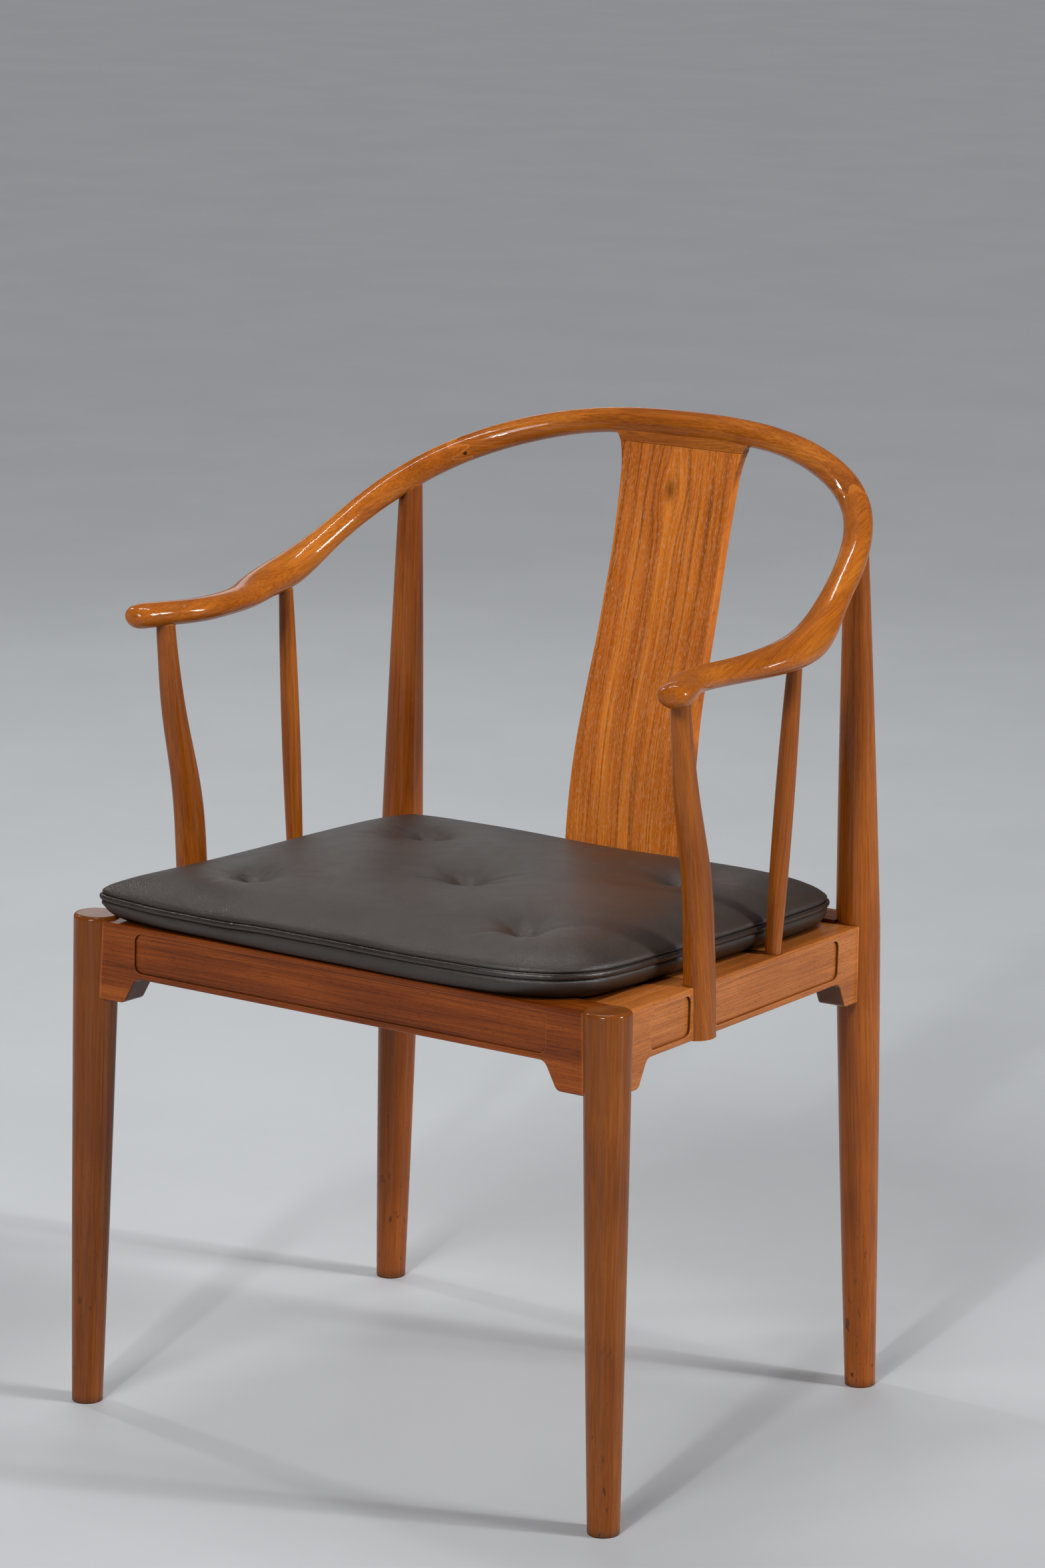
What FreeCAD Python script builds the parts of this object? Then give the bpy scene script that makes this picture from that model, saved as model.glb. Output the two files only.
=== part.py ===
import FreeCAD, Part
import math
import os
import Sketcher
from FreeCAD import Placement, Rotation, Vector

# Horseshoe back armchair.
# Millimetres. +Z is up, the chair faces -Y, the floor is z = 0.
# Distances named "back" are measured backwards from the front rail's outer face.
# Spans are measured sideways from the chair's middle. Right hand pieces are drawn, left hand ones mirrored.

SIZES = {
    # the whole
    "front_reach": 258.8,
    "seat_height": 429.5,
    "seat_slope_drop": 15.1,
    "seat_slope_run": 412.0,
    "overrun": 12.0,
    "tenon_length": 11.0,
    "closeness": 0.01,
    # front legs
    "front_foot_span": 268.0,
    "front_top_span": 259.5,
    "front_top_back": 12.0,
    "front_leg_height": 432.3,
    "foot_radius": 13.3,
    "foot_round": 2.0,
    "leg_middle_radius": 17.1,
    "leg_top_radius": 19.8,
    "leg_top_round": 3.5,
    # rear posts
    "rear_foot_span": 253.4,
    "rear_foot_back": 423.2,
    "rear_top_inset": 36.5,
    "rear_top_back": 424.2,
    "rear_calf_radius": 16.9,
    "rear_seat_radius": 19.1,
    "rear_back_radius": 15.2,
    "rear_top_radius": 10.2,
    "rear_tenon_radius": 6.5,
    # seat rails
    "rail_height": 44.6,
    "rail_width": 38.0,
    "rail_edge_round": 1.6,
    "rail_end": 12.0,
    "side_rail_offset": 10.0,
    "back_rail_rise": 3.0,
    "back_rail_back": 404.0,
    "rail_tenon_height": 26.0,
    "rail_tenon_thickness": 9.0,
    "rail_tenon_root": 34.0,
    "front_bracket_foot": 39.2,
    "side_bracket_foot": 35.0,
    "bracket_drop": 22.8,
    "bracket_slope": 12.5,
    "bracket_thickness": 25.0,
    "bracket_round": 6.5,
    "throat_round": 8.5,
    "field_margin": 5.2,
    "field_depth": 2.2,
    "field_corner": 7.0,
    "field_end": 50.5,
    "field_post_gap": 19.5,
    # seat board and battens
    "board_thickness": 12.0,
    "board_drop": 3.0,
    "board_gap": 0.2,
    "tongue_length": 6.0,
    "tongue_thickness": 4.0,
    "tongue_drop": 7.0,
    "batten_width": 34.0,
    "batten_height": 20.0,
    "front_batten_back": 118.0,
    "rear_batten_back": 296.0,
    # arm posts
    "arm_post_foot_span": 260.7,
    "arm_post_top_inset": 7.3,
    "arm_post_foot_height": 379.8,
    "arm_post_foot_back": 145.2,
    "arm_post_top_back": 110.0,
    "arm_post_top_drop": 5.0,
    "arm_post_width": 12.5,
    "arm_post_depth": 15.5,
    "arm_post_tenon_radius": 4.5,
    # spindles
    "spindle_foot_span": 248.5,
    "spindle_foot_back": 274.1,
    "spindle_foot_height": 415.0,
    "spindle_top_inset": 5.6,
    "spindle_top_back": 279.8,
    "spindle_top_rise": 1.0,
    "spindle_foot_radius": 6.5,
    "spindle_middle_radius": 8.2,
    "spindle_top_radius": 6.0,
    "spindle_tenon_radius": 3.5,
    # bent rail that makes the back and the arms
    "arm_span": 268.0,
    "arm_tip_back": 75.0,
    "crest_back": 517.8,
    "arm_height": 673.0,
    "crest_height": 807.2,
    "bow_width": 13.0,
    "bow_thickness": 12.8,
    "arm_width": 18.5,
    "tip_width": 14.2,
    "tip_thickness": 10.7,
    "joint_span": 205.0,
    "finger_length": 18.0,
    "finger_pitch": 10.3,
    "finger_tip": 2.2,
    "finger_shift": 1.7,
    "arm_reach": 640.0,
    # back splat
    "splat_top_drop": 17.45,
    "splat_top_lead": 9.8,
    "splat_foot_height": 411.0,
    "splat_foot_back": 423.5,
    "splat_depth": 10.3,
    "splat_half": 64.1,
    "splat_tenon_half": 30.0,
    "splat_tenon_length": 9.0,
    "splat_tenon_inset": 2.1,
    "splat_tenon_thickness": 5.8,
    "ear_radius": 8.0,
    # cushion
    "cushion_gap": 0.2,
    "cushion_half_width": 238.4,
    "cushion_overhang": 7.0,
    "cushion_length": 417.0,
    "cushion_corner": 44.0,
    "cushion_drawn_in": 10.0,
    "cushion_border": 20.3,
    "cushion_crown": 23.0,
    "piping_radius": 2.6,
    "tuft_radius": 46.0,
    "tuft_button_radius": 3.0,
    "tuft_depth": 13.0,
    "tuft_half_gap": 136.5,
    "front_tuft_back": 80.0,
    "middle_tuft_back": 190.8,
    "rear_tuft_back": 296.8,
}

HALF_SHARE = 0.5
# The middle of a quarter arc, as a share of its radius.
QUARTER_SHARE = math.sqrt(HALF_SHARE)
# How far a cutting block reaches past the piece that it cuts, as a share of that piece.
BLOCK_SHARE = 1.6

# The seat's place along the rear posts, where they are widest, and the foot of a bracket along them.
REAR_SEAT_SHARE = 0.55
REAR_AXIS_SHARE = 0.555
# The height at which the rear posts meet the bent rail, on the way from arm height to crest height.
REAR_TOP_SHARE = 0.55142

# The bent rail's stations, from the middle of the crest to the arm's tip: shares of the arm's span,
# of the way from the arm's tip back to the crest, and of the rise from arm height to crest height.
BOW_PLACE_SHARES = [
    (0.0000, 1.0000, 1.0000),
    (0.2985, 0.9955, 0.9836),
    (0.5672, 0.9503, 0.8867),
    (0.7985, 0.8498, 0.6967),
    (0.9280, 0.7053, 0.4396),
    (0.9724, 0.5924, 0.2385),
    (1.0000, 0.4896, 0.0782),
    (0.9925, 0.3948, 0.0224),
    (0.9590, 0.3157, -0.0022),
    (0.9347, 0.2299, -0.0037),
    (0.9366, 0.1427, -0.0007),
    (0.9910, 0.0576, 0.0030),
    (1.0070, 0.0268, 0.0040),
    (1.0120, 0.0160, 0.0042),
    (1.0160, 0.0072, 0.0044),
    (1.0180, 0.0025, 0.0045),
]
# Shares of the bow's width and thickness at the first stations.
BOW_SECTION_SHARES = [(1.000, 0.984), (1.000, 0.870), (1.030, 0.898),
                      (0.977, 0.930), (0.954, 0.930), (1.038, 0.910)]
# Shares of the arm's width and of the bow's thickness round the elbow.
ELBOW_SECTION_SHARES = [(0.935, 1.150), (1.000, 1.010), (0.973, 0.845), (0.881, 0.797), (0.800, 0.805)]
# Shares of the tip's width and thickness over its rounded end.
TIP_SECTION_SHARES = [(1.000, 1.000), (0.990, 0.990), (0.895, 0.895), (0.650, 0.650), (0.360, 0.360)]
# Places of the crest's fingers across the finger joint, as shares of their pitch.
FINGER_SHARES = [2, 1, 0, -1, -2]

# The arm post's stations: shares of its height, of the way from its foot to its top,
# and of its width and depth at the foot.
ARM_POST_SHARES = [
    (0.0, 0.000, 1.000, 1.000),
    (0.1, 0.035, 1.000, 0.995),
    (0.2, 0.070, 1.000, 0.990),
    (0.3, 0.115, 0.988, 0.980),
    (0.4, 0.178, 0.970, 0.950),
    (0.5, 0.305, 0.938, 0.877),
    (0.6, 0.495, 0.890, 0.800),
    (0.7, 0.690, 0.842, 0.722),
    (0.8, 0.835, 0.777, 0.643),
    (0.9, 0.937, 0.700, 0.575),
    (1.0, 1.000, 0.640, 0.520),
]

# The splat seen from the side: shares of its height and of its lean, at the ends and middles of two bends.
SPLAT_BEND_SHARES = [(0.061, 0.000), (0.300, 0.148), (0.535, 0.450), (0.762, 0.744), (1.000, 1.000)]
# The splat seen from the front: shares of its height and of its half width; every second one bends.
SPLAT_SIDE_SHARES = [(0.000, 0.985), (0.155, 0.977), (0.280, 0.961), (0.385, 0.929), (0.512, 0.906),
                     (0.655, 0.895), (0.800, 0.891), (0.926, 0.919), (0.966, 0.948), (1.000, 1.000)]

# The cushion's rounded top: shares of its crown, of its half width drawn in, and of its corner.
CROWN_SHARES = [(0.000, 0.000, 1.00), (0.400, 0.050, 1.00), (0.660, 0.126, 1.03), (0.830, 0.218, 1.08),
                (0.930, 0.319, 1.16), (0.980, 0.420, 1.26), (1.000, 0.520, 1.38)]
# The heights of the outer tufts and the middle one, as shares of the crown, and their trumpet shape.
OUTER_TUFT_SHARE = 0.88
MIDDLE_TUFT_SHARE = 1.0
TUFT_BEND_SHARES = (0.34, 0.66)

doc = FreeCAD.newDocument("HorseshoeArmchair")
sheet = doc.addObject("Spreadsheet::Sheet", "Sizes")
for row, (alias, amount) in enumerate(SIZES.items(), start=1):
    sheet.set(f"A{row}", alias)
    sheet.set(f"B{row}", str(amount))
    sheet.setAlias(f"B{row}", alias)
doc.recompute()


class Length:
    """A length in millimetres together with the expression that ties it to the sheet of sizes."""

    def __init__(self, amount, text):
        self.amount = amount
        self.text = text

    def __add__(self, other):
        return Length(self.amount + other.amount, f"({self.text} + {other.text})")

    def __sub__(self, other):
        return Length(self.amount - other.amount, f"({self.text} - {other.text})")

    def __neg__(self):
        return Length(-self.amount, f"(-{self.text})")

    def __mul__(self, share):
        return Length(self.amount * share, f"({self.text} * {share:.6f})")

    def __float__(self):
        return self.amount


ZERO = Length(0.0, "0")


def size(alias):
    """One named size from the sheet."""
    return Length(float(sheet.get(alias)), f"Sizes.{alias}")


def half(length):
    return length * HALF_SHARE


def between(start, end, share):
    """The length that lies a share of the way from one length to another."""
    return start + (end - start) * share


def spot(across=ZERO, up=ZERO, out=ZERO):
    return Vector(float(across), float(up), float(out))


def from_front(back):
    """The Y coordinate of what lies a distance behind the front rail's outer face."""
    return back - size("front_reach")


UP = Vector(0, 0, 1)
ACROSS = Vector(1, 0, 0)

# What meets the bent rail takes its place from it.
rear_top_span = size("arm_span") - size("rear_top_inset")
rear_top_height = between(size("arm_height"), size("crest_height"), REAR_TOP_SHARE)
arm_post_top_span = size("arm_span") - size("arm_post_top_inset")
arm_post_top_height = size("arm_height") - size("arm_post_top_drop")
spindle_top_span = size("arm_span") - size("spindle_top_inset")
spindle_top_height = size("arm_height") + size("spindle_top_rise")
splat_top_height = size("crest_height") - size("splat_top_drop")
splat_top_back = size("crest_back") - size("splat_top_lead")

# The seat frame's own axes: its top plane falls towards the back, and its Y runs back from the front face.
SEAT_SLOPE = math.atan2(float(size("seat_slope_drop")), float(size("seat_slope_run")))
SEAT_PLACE = Placement(spot(ZERO, from_front(ZERO), size("seat_height")),
                       Rotation(ACROSS, -math.degrees(SEAT_SLOPE)))


def axes_place(origin, across, up):
    """A placement at a point, with its X and Y axes along two square directions."""
    out = across.cross(up)
    return Placement(FreeCAD.Matrix(across.x, up.x, out.x, origin.x,
                                    across.y, up.y, out.y, origin.y,
                                    across.z, up.z, out.z, origin.z))


def standing_place(foot, top):
    """A placement at a foot, with its Z axis pointing at a top."""
    return Placement(foot, Rotation(UP, top - foot))


def lifted(place, across=ZERO, up=ZERO, out=ZERO):
    """A placement moved along its own axes."""
    return place.multiply(Placement(spot(across, up, out), Rotation()))


# Bodies, sketches and solids of the document.

def new_body(label, place=None):
    body = doc.addObject("PartDesign::Body", label)
    body.Label = label
    if place is not None:
        body.Placement = place
    return body


def new_sketch(body, name, role="XY_Plane"):
    """A sketch on one of its body's own planes."""
    sketch = body.newObject("Sketcher::SketchObject", name)
    plane = next(item for item in body.Origin.OriginFeatures if item.Role == role)
    sketch.AttachmentSupport = [(plane, "")]
    sketch.MapMode = "FlatFace"
    return sketch


def pin(sketch, geometry, vertex, point):
    """Holds a sketch's vertex at two lengths from the sketch's origin."""
    for kind, axis, length in (("DistanceX", -2, point[0]), ("DistanceY", -1, point[1])):
        if length is ZERO:
            sketch.addConstraint(Sketcher.Constraint("PointOnObject", geometry, vertex, axis))
        else:
            index = sketch.addConstraint(Sketcher.Constraint(kind, -1, 1, geometry, vertex, float(length)))
            sketch.setExpression(f"Constraints[{index}]", length.text)


def draw(sketch, corners):
    """Draws a closed outline through corners; a corner in a list is the middle point of an arc."""
    points = []
    middles = {}
    for corner in corners:
        if isinstance(corner, list):
            middles[len(points) - 1] = corner[0]
        else:
            points.append(corner)
    edges = []
    for number, start in enumerate(points):
        finish = points[(number + 1) % len(points)]
        if number in middles:
            edge = Part.Arc(spot(*start), spot(*middles[number]), spot(*finish))
        else:
            edge = Part.LineSegment(spot(*start), spot(*finish))
        index = sketch.addGeometry(edge, False)
        ends = sorted((1, 2), key=lambda vertex: sketch.getPoint(index, vertex).distanceToPoint(spot(*start)))
        edges.append((index, ends[0], ends[1]))
    for number, (index, first, last) in enumerate(edges):
        following, following_first, _ = edges[(number + 1) % len(edges)]
        sketch.addConstraint(Sketcher.Constraint("Coincident", index, last, following, following_first))
        pin(sketch, index, first, points[number])
    for number, middle in middles.items():
        mark = sketch.addGeometry(Part.Point(spot(*middle)), True)
        pin(sketch, mark, 1, middle)
        sketch.addConstraint(Sketcher.Constraint("PointOnObject", mark, 1, edges[number][0]))
    return sketch


def pad(body, name, sketch, length, backwards=False, both_ways=False):
    feature = body.newObject("PartDesign::Pad", name)
    feature.Profile = sketch
    feature.Length = float(length)
    feature.setExpression("Length", length.text)
    feature.Reversed = backwards
    if both_ways:
        feature.SideType = "Symmetric"
    return feature


def pocket(body, name, sketch, length, backwards=False, both_ways=False):
    feature = body.newObject("PartDesign::Pocket", name)
    feature.Profile = sketch
    feature.Length = float(length)
    feature.setExpression("Length", length.text)
    feature.Reversed = backwards
    if both_ways:
        feature.SideType = "Symmetric"
    return feature


def rounded(body, name, base, radius, is_edge):
    """Rounds the edges of a body's last feature that pass a test."""
    doc.recompute()
    chosen = [f"Edge{number}" for number, edge in enumerate(base.Shape.Edges, start=1) if is_edge(edge)]
    feature = body.newObject("PartDesign::Fillet", name)
    feature.Base = (base, chosen)
    feature.Radius = float(radius)
    feature.setExpression("Radius", radius.text)
    return feature


def turned(label, corners, place):
    """A turned piece from half its outline, standing on its placement."""
    body = new_body(label, place)
    profile = draw(new_sketch(body, f"{label}_profile", "XZ_Plane"), corners)
    feature = body.newObject("PartDesign::Revolution", f"{label}_turning")
    feature.Profile = profile
    feature.ReferenceAxis = (profile, ["V_Axis"])
    return body


def box(label, corner, extent, place=None):
    """A block from its lowest corner and its three lengths, in the axes of a placement."""
    block = doc.addObject("Part::Box", label)
    block.Label = label
    for name, length in zip(("Length", "Width", "Height"), extent):
        setattr(block, name, float(length))
        block.setExpression(name, length.text)
    block.Placement = Placement(spot(*corner), Rotation()) if place is None else lifted(place, *corner)
    return block


def round_tenon(label, radius, foot, length, place):
    """A round tenon that starts at a height on its placement's Z axis."""
    stock = doc.addObject("Part::Cylinder", label)
    stock.Label = label
    stock.Radius = float(radius)
    stock.Height = float(length)
    stock.setExpression("Radius", radius.text)
    stock.setExpression("Height", length.text)
    stock.Placement = lifted(place, out=foot)
    return stock


def joined(label, shapes):
    union = doc.addObject("Part::MultiFuse", label)
    union.Label = label
    union.Shapes = shapes
    return union


def cut(label, base, tools):
    """One piece less one or more others."""
    difference = doc.addObject("Part::Cut", label)
    difference.Label = label
    difference.Base = base
    difference.Tool = tools[0] if len(tools) == 1 else joined(f"{label}_waste", tools)
    return difference


def common(label, shapes):
    overlap = doc.addObject("Part::MultiCommon", label)
    overlap.Label = label
    overlap.Shapes = shapes
    return overlap


def mirrored(label, source):
    """The same piece on the chair's other side."""
    image = doc.addObject("Part::Mirroring", label)
    image.Label = label
    image.Source = source
    image.Normal = ACROSS
    return image


def oval(name, wide, thick, place):
    """A section of four arcs that run smoothly into one another, on its placement's X and Y axes."""
    end = thick * (1 + QUARTER_SHARE) - wide * QUARTER_SHARE
    side = wide - end * (1 - QUARTER_SHARE)
    rise = end * QUARTER_SHARE
    sketch = doc.addObject("Sketcher::SketchObject", name)
    sketch.Placement = place
    return draw(sketch, [(side, -rise), [(wide, ZERO)], (side, rise), [(ZERO, thick)],
                         (-side, rise), [(-wide, ZERO)], (-side, -rise), [(ZERO, -thick)]])


def loft(label, sections, ruled=False):
    skin = doc.addObject("Part::Loft", label)
    skin.Label = label
    skin.Sections = sections
    skin.Solid = True
    skin.Ruled = ruled
    return skin


# Legs: round, swelling from the foot to the seat. They are turned a little long and cut level with the floor.

FLOOR_WASTE = box("floor_waste",
                  (-size("front_foot_span") * BLOCK_SHARE, -size("front_reach") * BLOCK_SHARE,
                   -size("overrun")),
                  (size("front_foot_span") * (BLOCK_SHARE / HALF_SHARE), size("crest_back") * BLOCK_SHARE,
                   size("overrun")))

FRONT_FOOT = spot(size("front_foot_span"), from_front(ZERO), ZERO)
FRONT_TOP = spot(size("front_top_span"), from_front(size("front_top_back")), size("front_leg_height"))
REAR_FOOT = spot(size("rear_foot_span"), from_front(size("rear_foot_back")), ZERO)
REAR_TOP = spot(rear_top_span, from_front(size("rear_top_back")), rear_top_height)


def foot_corners():
    """The outline of a rounded foot, from the axis outwards."""
    low = -half(size("foot_round"))
    radius = size("foot_radius")
    edge = size("foot_round")
    bend = edge * (1 - QUARTER_SHARE)
    return [(ZERO, low), (radius - edge, low), [(radius - bend, low + bend)], (radius, low + edge)]


def front_leg_corners():
    height = size("front_leg_height")
    edge = size("leg_top_round")
    bend = edge * (1 - QUARTER_SHARE)
    radius = size("leg_top_radius")
    return foot_corners() + [[(size("leg_middle_radius"), half(height))],
                             (radius, height - edge), [(radius - bend, height - bend)], (radius - edge, height),
                             (ZERO, height)]


def rear_post_corners():
    height = rear_top_height
    seat = height * REAR_SEAT_SHARE
    return foot_corners() + [[(size("rear_calf_radius"), half(seat))], (size("rear_seat_radius"), seat),
                             [(size("rear_back_radius"), between(seat, height, HALF_SHARE))],
                             (size("rear_top_radius"), height), (ZERO, height)]


front_leg_blank = turned("front_leg_blank", front_leg_corners(), standing_place(FRONT_FOOT, FRONT_TOP))
rear_post_blank = turned("rear_post_blank", rear_post_corners(), standing_place(REAR_FOOT, REAR_TOP))
left_front_leg_blank = mirrored("left_front_leg_blank", front_leg_blank)
left_rear_post_blank = mirrored("left_rear_post_blank", rear_post_blank)

# Seat frame. Each rail is drawn along its own length, between the axes of its two legs.

front_axis = size("front_top_span")
rear_axis = between(size("rear_foot_span"), rear_top_span, REAR_AXIS_SHARE)
rear_axis_back = size("rear_foot_back")
side_run = rear_axis_back - size("front_top_back")
side_draw = front_axis - rear_axis
SIDE_TURN = math.atan2(float(side_draw), float(side_run))
side_length = side_run * (1 / math.cos(SIDE_TURN))
SIDE_ALONG = Vector(-math.sin(SIDE_TURN), math.cos(SIDE_TURN), 0)
SIDE_INWARD = Vector(-math.cos(SIDE_TURN), -math.sin(SIDE_TURN), 0)
SIDE_CORNER = spot(front_axis, size("front_top_back")) - SIDE_INWARD * float(size("side_rail_offset"))
SIDE_PLACE = SEAT_PLACE.multiply(axes_place(SIDE_CORNER, SIDE_ALONG, SIDE_INWARD))
BACK_PLACE = lifted(SEAT_PLACE, up=size("back_rail_back") + size("rail_width"))


def bracket_corners(axis, foot, inward):
    """The lower edge of one bracketed end, from the leg to the plain stretch."""
    low = -size("rail_height")
    return [(axis + size("rail_end") * inward, low - size("bracket_drop")),
            (axis + foot * inward, low - size("bracket_drop")),
            (axis + (foot + size("bracket_slope")) * inward, low)]


def is_across(edge):
    """Whether an edge runs from a rail's outer face inwards."""
    span = edge.BoundBox
    return max(span.XLength, span.ZLength) < float(size("closeness")) < span.YLength


def rail_blank(label, start, finish, place, foot, inwards, rise=ZERO):
    """A rail with bracketed ends between two leg axes, its outer face in the plane y = 0 of its place."""
    body = new_body(label, place)
    low = -size("rail_height")
    left = start + size("rail_end")
    right = finish - size("rail_end")
    bar = draw(new_sketch(body, f"{label}_bar_face", "XZ_Plane"),
               [(left, low), (right, low), (right, rise), (left, rise)])
    pad(body, f"{label}_bar", bar, size("rail_width"), backwards=inwards)
    lower_edge = bracket_corners(start, foot, 1) + bracket_corners(finish, foot, -1)[::-1]
    face = draw(new_sketch(body, f"{label}_plate_face", "XZ_Plane"),
                [(left, rise)] + lower_edge + [(right, rise)])
    plate = pad(body, f"{label}_plate", face, size("bracket_thickness"), backwards=inwards)
    middle = float(between(start, finish, HALF_SHARE))
    reach = float(finish - start) * HALF_SHARE
    close = float(size("closeness"))

    def at_foot(edge):
        along = reach - abs(edge.CenterOfMass.x - middle)
        return is_across(edge) and edge.CenterOfMass.z < float(low) - close and abs(along - float(foot)) < close

    def at_throat(edge):
        along = reach - abs(edge.CenterOfMass.x - middle)
        return is_across(edge) and abs(along - float(foot + size("bracket_slope"))) < close

    def on_face(edge):
        span = edge.BoundBox
        return max(abs(span.YMin), abs(span.YMax)) < close < span.XLength

    last = rounded(body, f"{label}_foot", plate, size("bracket_round"), at_foot)
    last = rounded(body, f"{label}_throat", last, size("throat_round"), at_throat)
    rounded(body, f"{label}_outer_edge", last, size("rail_edge_round"), on_face)
    return body


def sunken_field(body, name, start, finish, inwards):
    """A shallow field with round corners, sunk into a rail's outer face."""
    top = -size("field_margin")
    low = size("field_margin") - size("rail_height")
    sketch = draw(new_sketch(body, f"{name}_outline", "XZ_Plane"),
                  [(start, low), (finish, low), (finish, top), (start, top)])
    field = pocket(body, name, sketch, size("field_depth"), backwards=not inwards)
    close = float(size("closeness"))

    def at_corner(edge):
        place = edge.CenterOfMass
        ends = min(abs(place.x - float(start)), abs(place.x - float(finish)))
        return is_across(edge) and ends < close and float(low) - close < place.z < float(top) + close

    rounded(body, f"{name}_corner", field, size("field_corner"), at_corner)


front_rail_blank = rail_blank("front_rail_blank", -front_axis, front_axis, SEAT_PLACE,
                              size("front_bracket_foot"), True)
sunken_field(front_rail_blank, "front_field", size("field_end") - front_axis,
             front_axis - size("field_end"), True)

back_rail_blank = rail_blank("back_rail_blank", -rear_axis, rear_axis, BACK_PLACE,
                             size("side_bracket_foot"), False, size("back_rail_rise"))

side_rail_blank = rail_blank("side_rail_blank", ZERO, side_length, SIDE_PLACE, size("side_bracket_foot"), True)
post_place_along = size("arm_post_foot_back") - size("front_top_back")
sunken_field(side_rail_blank, "side_front_field", size("field_end"),
             post_place_along - size("field_post_gap"), True)
sunken_field(side_rail_blank, "side_rear_field", post_place_along + size("field_post_gap"),
             side_length - size("field_end"), True)
left_side_rail_blank = mirrored("left_side_rail_blank", side_rail_blank)

# The tenons by which the rails enter the legs. In each leg the two tenons stop clear of one another.
tenon_low = -half(size("rail_height") + size("rail_tenon_height"))
tenon_tip = size("leg_top_radius") - size("tenon_length")
tenon_reach = size("rail_tenon_root") - tenon_tip
tenon_thick = size("rail_tenon_thickness")
tenon_tall = size("rail_tenon_height")

front_tenon = box("front_tenon", (front_axis - size("rail_tenon_root"),
                                  size("front_top_back") - half(tenon_thick), tenon_low),
                  (tenon_reach, tenon_thick, tenon_tall), SEAT_PLACE)
back_tenon = box("back_tenon", (rear_axis - size("rail_tenon_root"), rear_axis_back - half(tenon_thick),
                                tenon_low), (tenon_reach, tenon_thick, tenon_tall), SEAT_PLACE)
side_front_tenon = box("side_front_tenon", (tenon_tip, size("side_rail_offset") - half(tenon_thick),
                                            tenon_low), (tenon_reach, tenon_thick, tenon_tall), SIDE_PLACE)
side_rear_tenon = box("side_rear_tenon", (side_length - size("rail_tenon_root"),
                                          size("side_rail_offset") - half(tenon_thick), tenon_low),
                      (tenon_reach, tenon_thick, tenon_tall), SIDE_PLACE)
left_front_tenon = mirrored("left_front_tenon", front_tenon)
left_back_tenon = mirrored("left_back_tenon", back_tenon)


# Seat board: a panel whose tongue lies in a groove round the inside of the frame, with two battens under it.

def side_face(back, inset):
    """Half the width of the opening between the side rails at a distance behind the front face."""
    drawn_in = (back - size("front_top_back")) * math.tan(SIDE_TURN)
    return front_axis - inset * (1 / math.cos(SIDE_TURN)) - drawn_in


def panel(label, grow, drop, thickness):
    """A slab that fills the frame's opening, grown on every side."""
    inset = size("rail_width") - size("side_rail_offset") - grow
    front = size("rail_width") - grow
    rear = size("back_rail_back") + grow
    body = new_body(label, lifted(SEAT_PLACE, out=-drop))
    face = draw(new_sketch(body, f"{label}_face"),
                [(-side_face(front, inset), front), (side_face(front, inset), front),
                 (side_face(rear, inset), rear), (-side_face(rear, inset), rear)])
    pad(body, f"{label}_slab", face, thickness, backwards=True)
    return body


board_slab = panel("board_slab", -size("board_gap"), size("board_drop"), size("board_thickness"))
board_tongue = panel("board_tongue", size("tongue_length") - size("board_gap"), size("tongue_drop"),
                     size("tongue_thickness"))
board_groove = panel("board_groove", size("tongue_length"), size("tongue_drop") - size("board_gap"),
                     size("tongue_thickness") + size("board_gap"))
seat_board = joined("seat_board", [board_slab, board_tongue])


def batten(label, back):
    """A batten across the underside of the seat board, fitted between the side rails."""
    low = -size("board_drop") - size("board_thickness") - size("batten_height")
    reach = side_face(back, half(size("rail_width")) - size("side_rail_offset"))
    bar = box(f"{label}_bar", (-reach, back, low),
              (reach * (1 / HALF_SHARE), size("batten_width"), size("batten_height")), SEAT_PLACE)
    return cut(label, bar, [side_rail_blank, left_side_rail_blank])


front_batten = batten("front_batten", size("front_batten_back"))
rear_batten = batten("rear_batten", size("rear_batten_back"))

# Bent rail: one run of oval sections from arm tip to arm tip, each square to the rail's middle line.

WIDE = [size("bow_width") * wide for wide, _ in BOW_SECTION_SHARES]
WIDE += [size("arm_width") * wide for wide, _ in ELBOW_SECTION_SHARES]
WIDE += [size("tip_width") * wide for wide, _ in TIP_SECTION_SHARES]
THICK = [size("bow_thickness") * thick for _, thick in BOW_SECTION_SHARES + ELBOW_SECTION_SHARES]
THICK += [size("tip_thickness") * thick for _, thick in TIP_SECTION_SHARES]

half_bow = [spot(size("arm_span") * across, from_front(between(size("arm_tip_back"), size("crest_back"), back)),
                 between(size("arm_height"), size("crest_height"), rise))
            for across, back, rise in BOW_PLACE_SHARES]
bow_spots = [Vector(-place.x, place.y, place.z) for place in half_bow[:0:-1]] + half_bow
bow_line = Part.BSplineCurve()
bow_line.interpolate(bow_spots)


def bow_place(place):
    """The placement of a section of the bent rail, its X axis level and its Z axis along the rail."""
    along = Vector(*bow_line.tangent(bow_line.parameter(place))[0]).normalize()
    level = along.cross(UP).normalize()
    return axes_place(place, level, along.cross(level))


bow_sizes = zip(WIDE[:0:-1] + WIDE, THICK[:0:-1] + THICK, bow_spots)
bow_sections = [oval(f"bow_section_{number}", wide, thick, bow_place(place))
                for number, (wide, thick, place) in enumerate(bow_sizes)]
bow = loft("bow", bow_sections)


def bow_spot_at(across):
    """The point of the bent rail's middle line on the crest's right half at a distance from the middle."""
    plane = Part.Plane(spot(across), ACROSS)
    crossings = [Vector(point.X, point.Y, point.Z) for point in bow_line.intersectCS(plane)[0]]
    return max(crossings, key=lambda crossing: crossing.z)


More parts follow.
